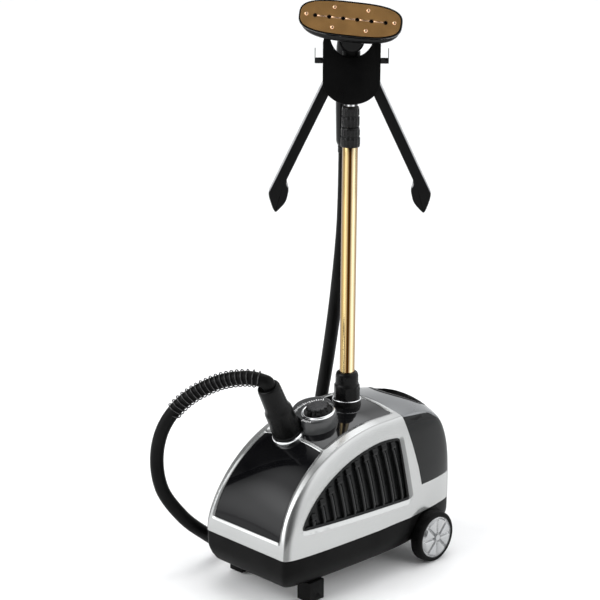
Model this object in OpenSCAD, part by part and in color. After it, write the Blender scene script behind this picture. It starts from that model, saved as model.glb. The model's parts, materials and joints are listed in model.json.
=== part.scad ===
// Upright garment steamer on wheels with a telescopic pole, hose and steam head.
// Millimetres, +Z up. The origin is on the floor under the middle of the housing.
// The housing's front faces -Y and its water tank is at +Y.

/* [Housing] */
// Overall width of the housing at its widest
housing_width = 220; // [180:1:260]
// Length of the housing from front to rear
housing_length = 410; // [340:1:460]
// Height of the split between black tub and silver frame
split_height = 90; // [70:1:110]
// Height of the deck above the split at the middle
deck_rise = 184; // [140:1:220]
// How much lower the deck is at its side edges
deck_crown = 14; // [0:1:30]
// Wall thickness of the moulded shells
shell_wall = 3; // [2:0.5:5]
// Height of the silver band round the housing
band_height = 27; // [15:1:40]
// Underside of the tub above the floor
tub_clearance = 38; // [25:1:50]

/* [Louvres] */
// Number of slats in each side grille
slat_count = 9; // [5:1:14]
// Width of each slat
slat_width = 13; // [6:1:20]

/* [Knob] */
// Radius of the control knob
knob_radius = 22.5; // [15:0.5:28]
// Forward tilt of the knob's raised boss
knob_tilt = 13; // [0:1:25]

/* [Pole] */
// Outside diameter of the fixed pole tube
pole_diameter = 25; // [20:0.5:32]
// Height of the top end of the fixed pole tube
pole_top = 731; // [650:1:800]
// Turn of the holder about the pole
holder_turn = 45; // [-90:1:90]

/* [Steam head] */
// Length of the steam plate
plate_length = 154; // [120:1:180]
// Height of the steam plate
plate_height = 49; // [40:1:70]
// Number of steam holes in the plate
hole_count = 6; // [4:1:12]
// Droop of the resting head to one side
head_roll = 5; // [0:0.1:12]
// Upward tilt of the resting head
head_pitch = 18; // [0:1:30]

/* [Hanger arms] */
// Length of each hanger arm from its pivot
arm_length = 229; // [160:1:260]
// Angle of the folded arm from straight down
arm_splay = 25.6; // [10:0.1:45]

/* [Wheels and hose] */
// Radius of the rear wheels
wheel_radius = 43.5; // [35:0.5:55]
// Outside diameter of the steam hose
hose_diameter = 22.5; // [16:0.5:26]
// Number of turns of the hose guard spring
spring_turns = 22; // [10:1:36]

/* [Output] */
// Sub-part to draw

/* [Hidden] */

$fn = 48;
half_width = housing_width / 2;
crest_x = half_width - 30;
middle_y = 23;
front_run = housing_length / 2 + middle_y;
rear_run = housing_length / 2 - middle_y;
rear_power = 4.5;
sill = split_height + band_height;
pole_y = 28;
pole_r = pole_diameter / 2;
front_steps = 9;
rear_steps = 6;
stations = [0, 26, 50, 66, 80, 86, 92, 98, 103, 107, 110];
cross_y = -95;
deck_end = 66;
trim_width = 6;
outlet_x = -12;
outlet_ring_r = 26.8;
outlet_tilt = 26.5;
wheel_y = 121;
axle_z = wheel_radius;
axle_r = 5;
caster_x = 79;
caster_y = -140;
hose_r = hose_diameter / 2;
plate_w = 18;
pivot_u = 34;
pivot_z = 812;
neck_z = 874;
shield_top = 880;
handle_u = -6.5;
handle_w = 33;
connector_length = 104;

// ---- housing form -------------------------------------------------------

function side_step(x) = max(0, (x - crest_x) / (half_width - crest_x));
function top_rise(x) = x <= crest_x
  ? deck_rise - deck_crown * pow(x / crest_x, 2)
  : (deck_rise - deck_crown) * (1 - pow(side_step(x), 1.5));
function front_reach(x) = front_run * (1 - 0.87 * pow(side_step(x), 4));
function rear_reach(x) =
  (rear_run - 14 * pow(min(x, crest_x) / crest_x, 2)) * (1 - 0.75 * pow(side_step(x), 3));
function deck_z(x, y) = split_height + top_rise(abs(x)) * (y < middle_y
  ? sqrt(1 - pow((middle_y - y) / front_reach(abs(x)), 2))
  : pow(1 - pow((y - middle_y) / rear_reach(abs(x)), rear_power), 1 / rear_power));

function side_profile(x, inset) = let(
    f = max(front_reach(x) - inset, 2),
    r = max(rear_reach(x) - inset, 2),
    h = max(top_rise(x) - inset, 1)
  ) concat(
    [for (i = [0:front_steps]) let(a = 90 * i / front_steps)
      [middle_y - f * cos(a), split_height + h * sin(a)]],
    [for (i = [1:rear_steps]) let(a = 90 - 90 * i / rear_steps)
      [middle_y + r * pow(cos(a), 2 / rear_power),
       split_height + h * pow(max(sin(a), 0), 2 / rear_power)]]
  );

module envelope(inset) {
  k = (half_width - inset) / half_width;
  hull() {
    for (x = stations, s = [-1, 1]) {
      translate([s * x * k, 0, 0])
        rotate([90, 0, 90])
          linear_extrude(0.01)
            polygon(side_profile(x, inset));
    }
  }
}

// A plan outline of the housing at the split height.
function plan_half(inset) = concat(
  [for (i = [0:len(stations) - 1]) let(x = stations[i])
    [x * (half_width - inset) / half_width, middle_y - front_reach(x) + inset]],
  [for (i = [len(stations) - 1:-1:0]) let(x = stations[i])
    [x * (half_width - inset) / half_width, middle_y + rear_reach(x) - inset]]
);
function plan_outline(inset) = let(h = plan_half(inset), n = len(h)) concat(
  h, [for (i = [n - 1:-1:0]) if (h[i][0] > 0.001) [-h[i][0], h[i][1]]]
);

// Prism standing on the XY plane.
module plan_prism(points, z0, z1) {
  translate([0, 0, z0])
    linear_extrude(z1 - z0)
      polygon(points);
}

// Prism across the housing from a side view outline.
module side_prism(points, x0, x1) {
  translate([x0, 0, 0])
    rotate([90, 0, 90])
      linear_extrude(x1 - x0)
        polygon(points);
}

// Prism along the housing from a front view outline.
module front_prism(points, y0, y1) {
  translate([0, y1, 0])
    rotate([90, 0, 0])
      linear_extrude(y1 - y0)
        polygon(points);
}

module front_opening() {
  front_prism([[-75, sill], [75, sill], [63, 262], [-63, 262]], -280, cross_y - trim_width / 2);
}

module deck_opening() {
  y0 = cross_y + trim_width / 2;
  plan_prism([[-63, y0], [63, y0], [66, deck_end], [-66, deck_end]], 200, 320);
}

// Side window outline: a flat-topped arch with a straight rear edge.
window_steps = 12;
function window_outline(g) = concat(
  [for (i = [0:window_steps]) let(u = 0.96 * (1 - i / window_steps) - 0.2 * i / window_steps)
    [middle_y - (200 - g) * u,
     105 + (126 - g) * pow(1 - pow(abs(u), 1.8), 1 / 1.8)]],
  [[74 - g, 120 + g], [-166 + 1.6 * g, 132 + g]]
);

module side_window(g) {
  side_prism(window_outline(g), 60, 130);
}

// Side view outline of the bay the tank drops into.
function bay_outline(g) = [
  [71 + g, 300], [73 + g, 270], [79 + g, 250], [91 + g, 205],
  [99 + g, 170], [104 + g, 137 + g], [240, 137 + g], [240, 300]
];
function cover_outline(g) = [
  [71 + g, 300], [73 + g, 270], [77.6 + g, 257], [124, 252], [141, 249.5],
  [160, 238], [175, 227], [240, 206], [240, 300]
];

// Plan outline of the tank handle, a crescent with a curved front edge.
handle_half = 58;
function handle_outline() = concat(
  [for (i = [-6:6]) let(x = handle_half * i / 6) [x, 111 + 31 * pow(i / 6, 2)]],
  [[handle_half, 152], [54, 168], [-54, 168], [-handle_half, 152]]
);

// ---- base ---------------------------------------------------------------

module wheel_well() {
  for (s = [-1, 1])
    translate([s * 99, wheel_y, axle_z])
      rotate([0, s * 90, 0])
        cylinder(r = wheel_radius + 4, h = 40);
}

module base_tub() {
  color([0.03, 0.03, 0.035])
  difference() {
    union() {
      difference() {
        hull() {
          plan_prism(plan_outline(1), split_height - 26, split_height);
          plan_prism(plan_outline(16), tub_clearance, tub_clearance + 1);
        }
        hull() {
          plan_prism(plan_outline(4), split_height - 24, split_height + 1);
          plan_prism(plan_outline(19), tub_clearance + 3, tub_clearance + 4);
        }
        wheel_well();
      }
      // Wheel well liners keep the tub closed behind each wheel.
      intersection() {
        for (s = [-1, 1])
          translate([s * 96.5 - 1.25, wheel_y, axle_z])
            rotate([0, 90, 0])
              cylinder(r = wheel_radius + 6, h = 2.5);
        plan_prism(plan_outline(2), tub_clearance + 2, split_height);
      }
      for (s = [-1, 1])
        translate([s * 74, wheel_y, axle_z])
          rotate([0, s * 90, 0])
            cylinder(r = 10, h = 27);
      for (s = [-1, 1])
        translate([s * caster_x, caster_y, tub_clearance])
          cylinder(r = 9, h = 26);
    }
    translate([-120, wheel_y, axle_z])
      rotate([0, 90, 0])
        cylinder(r = axle_r, h = 240);
    for (s = [-1, 1])
      translate([s * caster_x, caster_y, tub_clearance - 1])
        cylinder(r = 4.06, h = 24);
    plan_prism([[-60, -120], [60, -120], [60, 90], [-60, 90]], tub_clearance - 1, tub_clearance + 5);
    // Cord entry at the rear.
    translate([55, 160, 62])
      rotate([-90, 0, 0])
        cylinder(r = 7, h = 60);
  }
}

module base_plate() {
  color([0.05, 0.05, 0.055])
  difference() {
    union() {
      plan_prism([[-60, -120], [60, -120], [60, 90], [-60, 90]], tub_clearance, tub_clearance + 3);
      plan_prism([[-66, -126], [66, -126], [66, 96], [-66, 96]], tub_clearance + 3, tub_clearance + 5);
    }
    for (x = [-50, 50], y = [-110, 80])
      translate([x, y, tub_clearance - 1]) {
        cylinder(r = 2.2, h = 10);
        cylinder(r = 4, h = 1 + screw_head);
      }
    for (i = [0:6])
      translate([-35, -40 + 14 * i, tub_clearance - 1])
        cube([70, 5, 10]);
  }
}

screw_head = 1.4;
module base_screws() {
  color([0.6, 0.6, 0.62])
  for (x = [-50, 50], y = [-110, 80])
    translate([x, y, 0])
      union() {
        translate([0, 0, tub_clearance])
          cylinder(r = 4, h = screw_head);
        translate([0, 0, tub_clearance])
          cylinder(r = 2.2, h = 9);
      }
}

// ---- silver frame and panels --------------------------------------------

module frame_shell() {
  color([0.72, 0.73, 0.75])
  difference() {
    envelope(0);
    envelope(shell_wall);
    front_opening();
    deck_opening();
    side_window(0);
    mirror([1, 0, 0])
      side_window(0);
    side_prism(bay_outline(0), -130, 130);
    outlet_hole();
  }
}

module outlet_place() {
  translate([outlet_x, cross_y, deck_z(outlet_x, cross_y)])
    rotate([outlet_tilt, 0, 0])
      children();
}

module outlet_hole() {
  outlet_place()
    translate([0, 0, -20])
      cylinder(r = 20, h = 40);
}

module front_panel() {
  color([0.02, 0.02, 0.025])
  difference() {
    intersection() {
      envelope(0.4);
      front_opening();
    }
    envelope(shell_wall);
    outlet_hole();
  }
}

module top_deck() {
  color([0.02, 0.02, 0.025])
  difference() {
    intersection() {
      envelope(0.4);
      deck_opening();
    }
    envelope(shell_wall);
    outlet_hole();
    boss_body(0, -60, 80);
    translate([0, pole_y, 200])
      cylinder(r = plinth_r, h = 120);
  }
}

boss_x = 6.8;
boss_y = -54.7;
boss_z = 280.3;
boss_wall = 2.5;
plinth_r = 24;
module boss_place(dz) {
  translate([boss_x, boss_y, boss_z])
    rotate([knob_tilt, 0, 0])
      translate([0, 0, dz])
        children();
}
module knob_place(dz) {
  boss_place(dz)
    translate([6, 3, 0])
      children();
}

// The boss is egg-shaped, longer to the rear left, and cut away where the outlet's ring stands.
function boss_outline(inset) = [for (i = [0:71]) let(
    a = 5 * i,
    swell = max(0, cos(a - 145)),
    r = 35.5 - inset + 18.7 * swell * swell
  ) [r * cos(a), r * sin(a)]];

module boss_body(inset, z0, h) {
  difference() {
    boss_place(z0)
      linear_extrude(h)
        polygon(boss_outline(inset));
    outlet_place()
      translate([0, 0, -80])
        cylinder(r = outlet_ring_r + 0.8 + inset, h = 160);
  }
}

module knob_boss() {
  color([0.09, 0.09, 0.1])
  difference() {
    boss_body(0, -40, 40);
    boss_body(boss_wall, -41, 41 - boss_wall);
    knob_place(-10)
      cylinder(r = 5, h = 20);
  }
}

knob_height = 11.1;
scallops = 12;
module knob_ring() {
  color([0.85, 0.85, 0.86])
  knob_place(0)
    rotate_extrude()
      polygon([[23.6, 0], [28, 0], [28, 2.2], [27, 3.6], [24.6, 3.6], [23.6, 2.6]]);
}

module knob() {
  color([0.02, 0.02, 0.02])
  difference() {
    union() {
      knob_place(0.3)
        rotate_extrude()
          polygon([[0, 0], [knob_radius, 0], [knob_radius, 2.4], [20.8, 4], [19.8, knob_height - 1],
            [18.8, knob_height], [0, knob_height]]);
      knob_place(-12)
        cylinder(r = 3, h = 13);
    }
    for (i = [0:scallops - 1])
      knob_place(4.3)
        rotate([0, 0, 360 * i / scallops])
          translate([22.3, 0, 0])
            cylinder(r = 3, h = 12, $fn = 24);
    knob_place(knob_height - 1)
      cylinder(r = 16.2, h = 4);
  }
}

module knob_cap() {
  color([0.4, 0.4, 0.42])
  knob_place(knob_height - 1)
    difference() {
      cylinder(r = 16.2, h = 2.2);
      translate([-1, -15, 1.6])
        cube([2, 10, 2]);
    }
}

module rotary_switch() {
  color([0.2, 0.2, 0.22])
  difference() {
    union() {
      knob_place(-22.5)
        cylinder(r = 16, h = 18);
      knob_place(-4.5)
        cylinder(r = 5, h = 4);
    }
    knob_place(-13)
      cylinder(r = 3.06, h = 20);
  }
}

// Slats follow shallow arcs that lean with the window's rear edge.
module slat_slots() {
  pitch = 200 / slat_count;
  for (i = [0:slat_count])
    translate([0, -166 + pitch * (i + 0.1), 0])
      side_prism(slot_outline(pitch - slat_width), 60, 130);
}
function slot_outline(w) = concat(
  [for (k = [0:8]) let(z = 134 + 12 * k) [slot_lean(z) - 0.2 * w, z]],
  [for (k = [8:-1:0]) let(z = 134 + 12 * k) [slot_lean(z) + 0.8 * w, z]]
);
function slot_lean(z) = 9 - 0.09 * (z - 130) - 0.0006 * pow(z - 130, 2);

module louvre(s) {
  mirror([s < 0 ? 1 : 0, 0, 0])
    difference() {
      intersection() {
        envelope(2);
        side_window(0);
      }
      envelope(7);
      difference() {
        intersection() {
          slat_slots();
          side_window(4);
        }
        envelope(12);
      }
    }
}
module louvre_right() {
  color([0.04, 0.04, 0.045])
    louvre(1);
}
module louvre_left() {
  color([0.04, 0.04, 0.045])
    louvre(-1);
}

// ---- water tank ---------------------------------------------------------

bulkhead_y = 104;
tank_front = 107;
cap_y = 152;

module tank_bay() {
  color([0.06, 0.06, 0.065])
  difference() {
    union() {
      intersection() {
        envelope(shell_wall);
        side_prism([[bulkhead_y - 2.5, 134.2], [230, 134.2], [230, 137.2], [bulkhead_y - 2.5, 137.2]],
          -130, 130);
      }
      intersection() {
        envelope(shell_wall + 1);
        side_prism([[bulkhead_y - 2.5, 137], [bulkhead_y, 137], [bulkhead_y, 236],
          [bulkhead_y - 2.5, 236]], -130, 130);
      }
      translate([0, cap_y, 108])
        cylinder(r = 29, h = 27);
    }
    translate([0, cap_y, 110.5])
      cylinder(r = 26.5, h = 40);
    translate([0, cap_y, 100])
      cylinder(r = 4, h = 20);
  }
}

module tank_shell() {
  color([0.12, 0.12, 0.13, 0.6])
  difference() {
    intersection() {
      envelope(0.4);
      difference() {
        side_prism(bay_outline(0.6), -130, 130);
        side_prism(cover_outline(-2), -130, 130);
      }
    }
    // Side skirts only, forward of the tank's front wall.
    intersection() {
      envelope(shell_wall + 0.4);
      translate([-130, 0, 100])
        cube([260, tank_front, 220]);
    }
    // Inside of the reservoir, open at the top.
    intersection() {
      envelope(shell_wall);
      translate([-130, tank_front + 3, 141])
        cube([260, 200, 220]);
    }
    translate([0, cap_y, 120])
      cylinder(r = 19, h = 40);
  }
}

module tank_cover() {
  color([0.6, 0.61, 0.63])
  difference() {
    intersection() {
      envelope(0);
      side_prism(cover_outline(0.6), -130, 130);
    }
    envelope(shell_wall);
    plan_prism(handle_outline(), 200, 320);
  }
}

module tank_handle() {
  color([0.03, 0.03, 0.035])
  difference() {
    intersection() {
      envelope(-1.5);
      plan_prism(handle_outline(), 225, 320);
    }
    envelope(12);
    // Finger recess behind the grip bar.
    translate([0, 134, 262])
      rotate([-14, 0, 0])
        translate([-36, -2, -4])
          cube([72, 22, 40]);
  }
}

module tank_grips() {
  color([0.03, 0.03, 0.035])
  for (s = [-1, 1])
    difference() {
      intersection() {
        envelope(-0.8);
        translate([s * 80 - 40, 0, 0])
          side_prism([[90, 250], [118, 251], [124, 248], [108, 245.5]], 0, 80);
      }
      envelope(0.4);
    }
}

module tank_cap() {
  color([0.1, 0.1, 0.11])
  difference() {
    union() {
      translate([0, cap_y, 122])
        cylinder(r = 22, h = 15.6);
      translate([0, cap_y, 137])
        cylinder(r = 19, h = 10);
      for (i = [0:11])
        translate([0, cap_y, 122])
          rotate([0, 0, 30 * i])
            translate([21.6, 0, 0])
              cylinder(r = 1.8, h = 12, $fn = 16);
    }
    translate([0, cap_y, 110])
      cylinder(r = 3.4, h = 34);
  }
}

// ---- steam outlet and hose ----------------------------------------------

module outlet_ring() {
  color([0.85, 0.85, 0.86])
  outlet_place()
    rotate_extrude()
      polygon([[18, -14], [20, -14], [20, 1], [outlet_ring_r, 1], [outlet_ring_r, 3.5], [25.8, 6],
        [25, 6], [25, 3.5], [18, 3.5]]);
}

module hose_connector() {
  color([0.02, 0.02, 0.02])
  outlet_place()
    difference() {
      rotate_extrude()
        polygon([[0, 3.5], [24.9, 3.5], [24.9, 8], [23, 52], [22.4, 55], [20, 60],
          [19.4, 66], [18.8, connector_length - 6], [17.5, connector_length - 1],
          [15, connector_length], [0, connector_length]]);
      translate([0, 0, -1])
        cylinder(r = 9, h = connector_length - 10);
    }
}

module steam_pipe() {
  color([0.55, 0.56, 0.6])
  union() {
    outlet_place()
      translate([0, 0, -40])
        difference() {
          cylinder(r = 8.9, h = 60);
          translate([0, 0, -1])
            cylinder(r = 6.5, h = 62);
        }
    outlet_place()
      translate([0, 0, -40])
        sphere(r = 10);
    translate([outlet_x, -77.16, 118])
      cylinder(r = 9, h = 93.5);
  }
}

function unit(v) = v / norm(v);
function blend4(p, i, t) = let(
    n = len(p) - 1,
    a = p[max(i - 1, 0)], b = p[i], c = p[min(i + 1, n)], d = p[min(i + 2, n)]
  ) 0.5 * (2 * b + (c - a) * t + (2 * a - 5 * b + 4 * c - d) * t * t
    + (3 * b - a - 3 * c + d) * t * t * t);
function route(p, n) = concat(
  [for (i = [0:len(p) - 2]) for (k = [0:n - 1]) blend4(p, i, k / n)],
  [p[len(p) - 1]]
);
function heading(p, i) = unit(p[min(i + 1, len(p) - 1)] - p[max(i - 1, 0)]);

module tube_along(p, refs, r, sides) {
  n = len(p);
  points = [for (i = [0:n - 1]) let(
      t = heading(p, i),
      a = unit(cross(t, refs[i])),
      b = cross(t, a)
    ) for (j = [0:sides - 1]) p[i] + r * (cos(360 * j / sides) * a + sin(360 * j / sides) * b)];
  faces = concat(
    [[for (j = [0:sides - 1]) j]],
    [for (i = [0:n - 2]) for (j = [0:sides - 1]) let(k = (j + 1) % sides)
      [i * sides + j, (i + 1) * sides + j, (i + 1) * sides + k, i * sides + k]],
    [[for (j = [sides - 1:-1:0]) (n - 1) * sides + j]]
  );
  polyhedron(points = points, faces = faces, convexity = 8);
}

tip = [outlet_x, cross_y - connector_length * sin(outlet_tilt),
  deck_z(outlet_x, cross_y) + connector_length * cos(outlet_tilt)];
loop_ref = [0.7, -0.71, 0];
loop_points = [
  tip,
  tip + 9 * [0, -0.446, 0.895],
  [-42, -162, 352],
  [-88, -184, 337],
  [-132, -212, 303],
  [-160, -232, 256],
  [-172, -238, 200],
  [-166, -232, 144],
  [-148, -206, 96],
  [-138, -172, 62],
  [-148, -120, 26],
  [-158, -60, 13],
  [-164, 10, 13],
  [-163, 62, 24]
];
riser_points = [
  [-163, 62, 24],
  [-158, 92, 70],
  [-148, 104, 140],
  [-134, 106, 230],
  [-104, 91, 318],
  [-72, 72, 410],
  [-50, 60, 494],
  [-38, 54, 560]
];
tail_points = [
  [-37.8, 53.9, 561.1],
  [-32.5, 50.4, 604],
  [-28.8, 47.4, 652],
  [-27.9, 46.7, 687.3]
];
loop_route = route(loop_points, 5);
riser_route = route(riser_points, 5);
tail_route = route(tail_points, 3);

module hose_loop() {
  color([0.02, 0.02, 0.02])
  tube_along(loop_route, [for (q = loop_route) loop_ref], hose_r, 12);
}

module hose_riser() {
  color([0.02, 0.02, 0.02])
  tube_along(riser_route, [for (q = riser_route) [1, 0.3, 0]], hose_r, 12);
}

module hose_tail() {
  color([0.02, 0.02, 0.02])
  tube_along(tail_route, [for (q = tail_route) [1, 0.3, 0]], hose_r, 12);
}

spring_start = 7.4;
spring_end = 22.5;
spring_steps = 10;
spring_mean = hose_r + 2.6;
function along(p, s) = let(i = min(floor(s), len(p) - 2), f = s - i) p[i] * (1 - f) + p[i + 1] * f;
module hose_spring() {
  color([0.05, 0.05, 0.05])
  let(
    n = spring_turns * spring_steps,
    line = [for (k = [0:n]) let(
        s = spring_start + (spring_end - spring_start) * k / n,
        i = floor(min(s, len(loop_route) - 2)),
        t = unit(heading(loop_route, i) * (1 - s + i) + heading(loop_route, i + 1) * (s - i)),
        a = unit(cross(t, loop_ref)),
        b = cross(t, a),
        g = 360 * k / spring_steps
      ) along(loop_route, s) + spring_mean * (cos(g) * a + sin(g) * b)],
    refs = [for (k = [0:n]) let(s = spring_start + (spring_end - spring_start) * k / n)
      heading(loop_route, floor(min(s, len(loop_route) - 2)))]
  )
    tube_along(line, refs, 1.3, 5);
}

// ---- pole ---------------------------------------------------------------

module at_pole() {
  translate([0, pole_y, 0])
    children();
}

module tube(outer, inner, z0, z1) {
  at_pole()
    translate([0, 0, z0])
      difference() {
        cylinder(r = outer, h = z1 - z0);
        translate([0, 0, -1])
          cylinder(r = inner, h = z1 - z0 + 2);
      }
}

socket_z = deck_z(0, pole_y) + 4;
module pole_socket() {
  color([0.02, 0.02, 0.02])
  at_pole()
    difference() {
      union() {
        translate([0, 0, socket_z])
          rotate_extrude()
            polygon([[pole_r, -60], [16, -60], [16, -9], [plinth_r, -9], [plinth_r, 3.2],
              [21.5, 3.2], [21.5, 27], [20.5, 29.5], [19, 30], [19, 44], [17.5, 49], [15, 51],
              [pole_r, 51]]);
        for (i = [0:7])
          rotate([0, 0, 45 * i])
            translate([20.6, -2, socket_z + 5.2])
              cube([1.8, 4, 21]);
      }
    }
}

module pole_socket_ring() {
  color([0.85, 0.85, 0.86])
  at_pole()
    translate([0, 0, socket_z])
      rotate_extrude()
        polygon([[21.5, 3.2], [23.5, 3.2], [23.5, 4.4], [22.9, 5], [21.5, 5]]);
}

module pole_outer() {
  color([0.8, 0.6, 0.3])
    tube(pole_r, pole_r - 1, socket_z - 60, pole_top);
}

module pole_mid() {
  color([0.8, 0.6, 0.3])
    tube(pole_r - 1.05, pole_r - 2.1, 330, 764);
}

module pole_inner() {
  color([0.8, 0.6, 0.3])
    tube(pole_r - 2.15, pole_r - 3.4, 340, 856);
}

module clamp_collar(r, z0, h, bore, seat) {
  at_pole()
    translate([0, 0, z0])
      difference() {
        union() {
          rotate_extrude()
            polygon([[bore, 0], [r, 0], [r, h * 0.45], [r - 0.7, h * 0.55], [r - 0.7, h - 2],
              [r - 2, h], [bore, h]]);
          for (i = [0:11])
            rotate([0, 0, 30 * i])
              translate([r - 1.2, 0, 1])
                cylinder(r = 1.9, h = h - 5, $fn = 16);
        }
        translate([0, 0, -1])
          cylinder(r = seat, h = h - 3);
      }
}

module clamp_lower() {
  color([0.02, 0.02, 0.02])
    clamp_collar(14.6, 704, 32, pole_r - 1, pole_r + 0.05);
}

module clamp_upper() {
  color([0.02, 0.02, 0.02])
    clamp_collar(13.4, 737, 32, pole_r - 2.1, pole_r - 1);
}

// ---- holder -------------------------------------------------------------

// Local frame of the holder: +X is its right, -Y its front, turned about the pole.
module holder_frame() {
  translate([0, pole_y, 0])
    rotate([0, 0, holder_turn])
      children();
}

// Flat part in the holder's front plane, from depth w0 (rear) to w1 (front).
module face_prism(points, w0, w1) {
  translate([0, -w0, 0])
    rotate([90, 0, 0])
      linear_extrude(w1 - w0)
        polygon(points);
}

function shield() = concat(
  [[-43, shield_top], [-45, shield_top - 8], [-45, 810]],
  [for (i = [1:11]) let(a = 180 + 15 * i) [45 * cos(a), 810 + 36 * sin(a)]],
  [[45, 810], [45, shield_top - 8], [43, shield_top]]
);

module holder_plate() {
  color([0.02, 0.02, 0.02])
  holder_frame()
    difference() {
      union() {
        face_prism(shield(), plate_w - 2, plate_w + 2);
        face_prism([[-14, 800], [14, 800], [14, 850], [-14, 850]], plate_w - 4, plate_w - 2);
      }
      // U notch for the head's neck.
      translate([0, 0, neck_z + 8.2])
        rotate([90, 0, 0])
          translate([0, 0, plate_w - 10])
            cylinder(r = 33.7, h = 20);
      for (s = [-1, 1])
        translate([s * pivot_u, 0, pivot_z])
          rotate([90, 0, 0])
            cylinder(r = 3, h = 40);
    }
}

module holder_bracket() {
  color([0.03, 0.03, 0.03])
  holder_frame()
    difference() {
      union() {
        translate([0, 0, 790])
          cylinder(r = 14, h = 66);
        translate([-14, -(plate_w - 4), 800])
          cube([28, plate_w - 4, 50]);
        // Cradle ledge under the neck.
        translate([0, 0, neck_z])
          rotate([90, 0, 0])
            translate([0, 0, -8])
              difference() {
                cylinder(r = 19.5, h = plate_w + 5.5);
                translate([0, 0, -1])
                  cylinder(r = 16.6, h = 40);
                translate([-40, 0, -1])
                  cube([80, 40, 60]);
              }
      }
      translate([0, 0, 780])
        cylinder(r = pole_r - 2.15, h = 82);
      translate([0, 0, neck_z])
        rotate([90, 0, 0])
          translate([0, 0, -30])
            cylinder(r = 16.6, h = 60);
    }
}

module hook_bars() {
  color([0.02, 0.02, 0.02])
  holder_frame()
    for (s = [-1, 1])
      translate([s > 0 ? 45 : -56.4, -plate_w - 2, 839])
        cube([11.4, 4, 9]);
}

module hook_pins() {
  color([0.02, 0.02, 0.02])
  holder_frame()
    for (s = [-1, 1])
      translate([s > 0 ? 56.4 : -57.6, -plate_w - 1, 839])
        cube([1.2, 2, 24]);
}

module pole_end_ring() {
  color([0.9, 0.9, 0.9])
    tube(12.4, pole_r - 2.15, 770.5, 790);
}

module arm_pins() {
  color([0.6, 0.6, 0.62])
  holder_frame()
    for (s = [-1, 1])
      translate([s * pivot_u, 0, pivot_z])
        rotate([90, 0, 0])
          union() {
            translate([0, 0, 2])
              cylinder(r = 3, h = plate_w);
            translate([0, 0, 1])
              cylinder(r = 6, h = 2.2);
          }
}

// Arm hanging straight down from its pivot: a bar with a leaf-shaped foot on its inner side.
// Local +X is outward on the right arm and the left arm is its mirror image.
arm_half = 9.2;
function arm_outline() = concat(
  [for (i = [0:8]) let(a = 22.5 * i) [arm_half * cos(a), arm_half * sin(a)]],
  [[-arm_half, 55.7 - arm_length], [-12, 52 - arm_length], [-16.9, 47 - arm_length],
    [-20, 41 - arm_length], [-21.9, 33 - arm_length], [-23.2, 27 - arm_length],
    [-22.8, 19 - arm_length], [-20, 10 - arm_length], [-16.5, -arm_length],
    [-10, 4 - arm_length], [-3, 11 - arm_length], [3.5, 18 - arm_length],
    [7.5, 24 - arm_length], [arm_half, 31 - arm_length]]
);

module arm() {
  translate([pivot_u, 0, pivot_z])
    rotate([0, -arm_splay, 0])
      difference() {
        union() {
          face_prism(arm_outline(), 3.6, plate_w - 2.6);
          face_prism([[-3, -18], [3, -18], [3, -170], [-3, -170]], 2.6, 3.6);
        }
        rotate([90, 0, 0])
          translate([0, 0, -5])
            cylinder(r = 3.06, h = 40);
        face_prism([[-5, -24], [5, -24], [4.5, -160], [-4.5, -160]], plate_w - 4.6, plate_w);
      }
}
module arm_left() {
  color([0.02, 0.02, 0.02])
  holder_frame()
    mirror([1, 0, 0])
      arm();
}
module arm_right() {
  color([0.02, 0.02, 0.02])
  holder_frame()
    arm();
}

// ---- steam head ---------------------------------------------------------

head_z = 909;
head_w = 40;
module head_frame() {
  holder_frame()
    translate([-3, -head_w, head_z])
      rotate([0, 0, -7])
        rotate([-head_pitch, 0, 0])
          rotate([0, head_roll, 0])
            children();
}

// Long plate form with slightly bowed sides, drawn as a superellipse.
oval_power = 0.66;
function bowed(v) = sign(v) * pow(abs(v), oval_power);
module racetrack(l, h, d) {
  rotate([90, 0, 0])
    linear_extrude(d)
      polygon([for (i = [0:79]) [l / 2 * bowed(cos(4.5 * i)), h / 2 * bowed(sin(4.5 * i))]]);
}

module head_plate() {
  color([0.72, 0.5, 0.25])
  head_frame()
    difference() {
      translate([0, -6, 0])
        racetrack(plate_length, plate_height, 3);
      for (i = [0:hole_count - 1])
        translate([(i - (hole_count - 1) / 2) * 21.8, 0, 0])
          rotate([90, 0, 0])
            cylinder(r = 2.6, h = 20);
      translate([-54.5, -10, -1.2])
        cube([109, 2.2, 2.4]);
    }
}

module head_rim() {
  color([0.02, 0.02, 0.02])
  head_frame()
    difference() {
      translate([0, 0, 0])
        racetrack(plate_length + 6, plate_height + 6, 8);
      translate([0, -6, 0])
        racetrack(plate_length, plate_height, 10);
      translate([0, 1, 0])
        racetrack(plate_length - 12, plate_height - 12, 10);
    }
}

module head_rivets() {
  color([0.85, 0.65, 0.35])
  head_frame()
    for (p = [[-68, 1], [-26, 15.6], [26, 15.6], [68, 1], [-26, -15.6], [26, -15.6]])
      translate([p[0], -9, p[1]])
        rotate([90, 0, 0])
          cylinder(r1 = 2.8, r2 = 1.6, h = 1.2);
}

module head_shell() {
  color([0.02, 0.02, 0.02])
  difference() {
    hull() {
      head_frame()
        translate([0, 0.02, 0])
          racetrack(plate_length + 4, plate_height + 4, 0.01);
      head_frame()
        translate([0, 8, 0])
          racetrack(plate_length - 8, plate_height - 6, 0.01);
      head_frame()
        translate([0, 20, -4])
          racetrack(70, 34, 0.01);
    }
    head_frame()
      translate([0, 3, 0])
        racetrack(plate_length - 14, plate_height - 14, 10);
    holder_frame()
      neck_line();
  }
}

module neck_line() {
  rotate([90, 0, 0])
    translate([0, neck_z, -40])
      cylinder(r = 16.2, h = 62);
}

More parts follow.
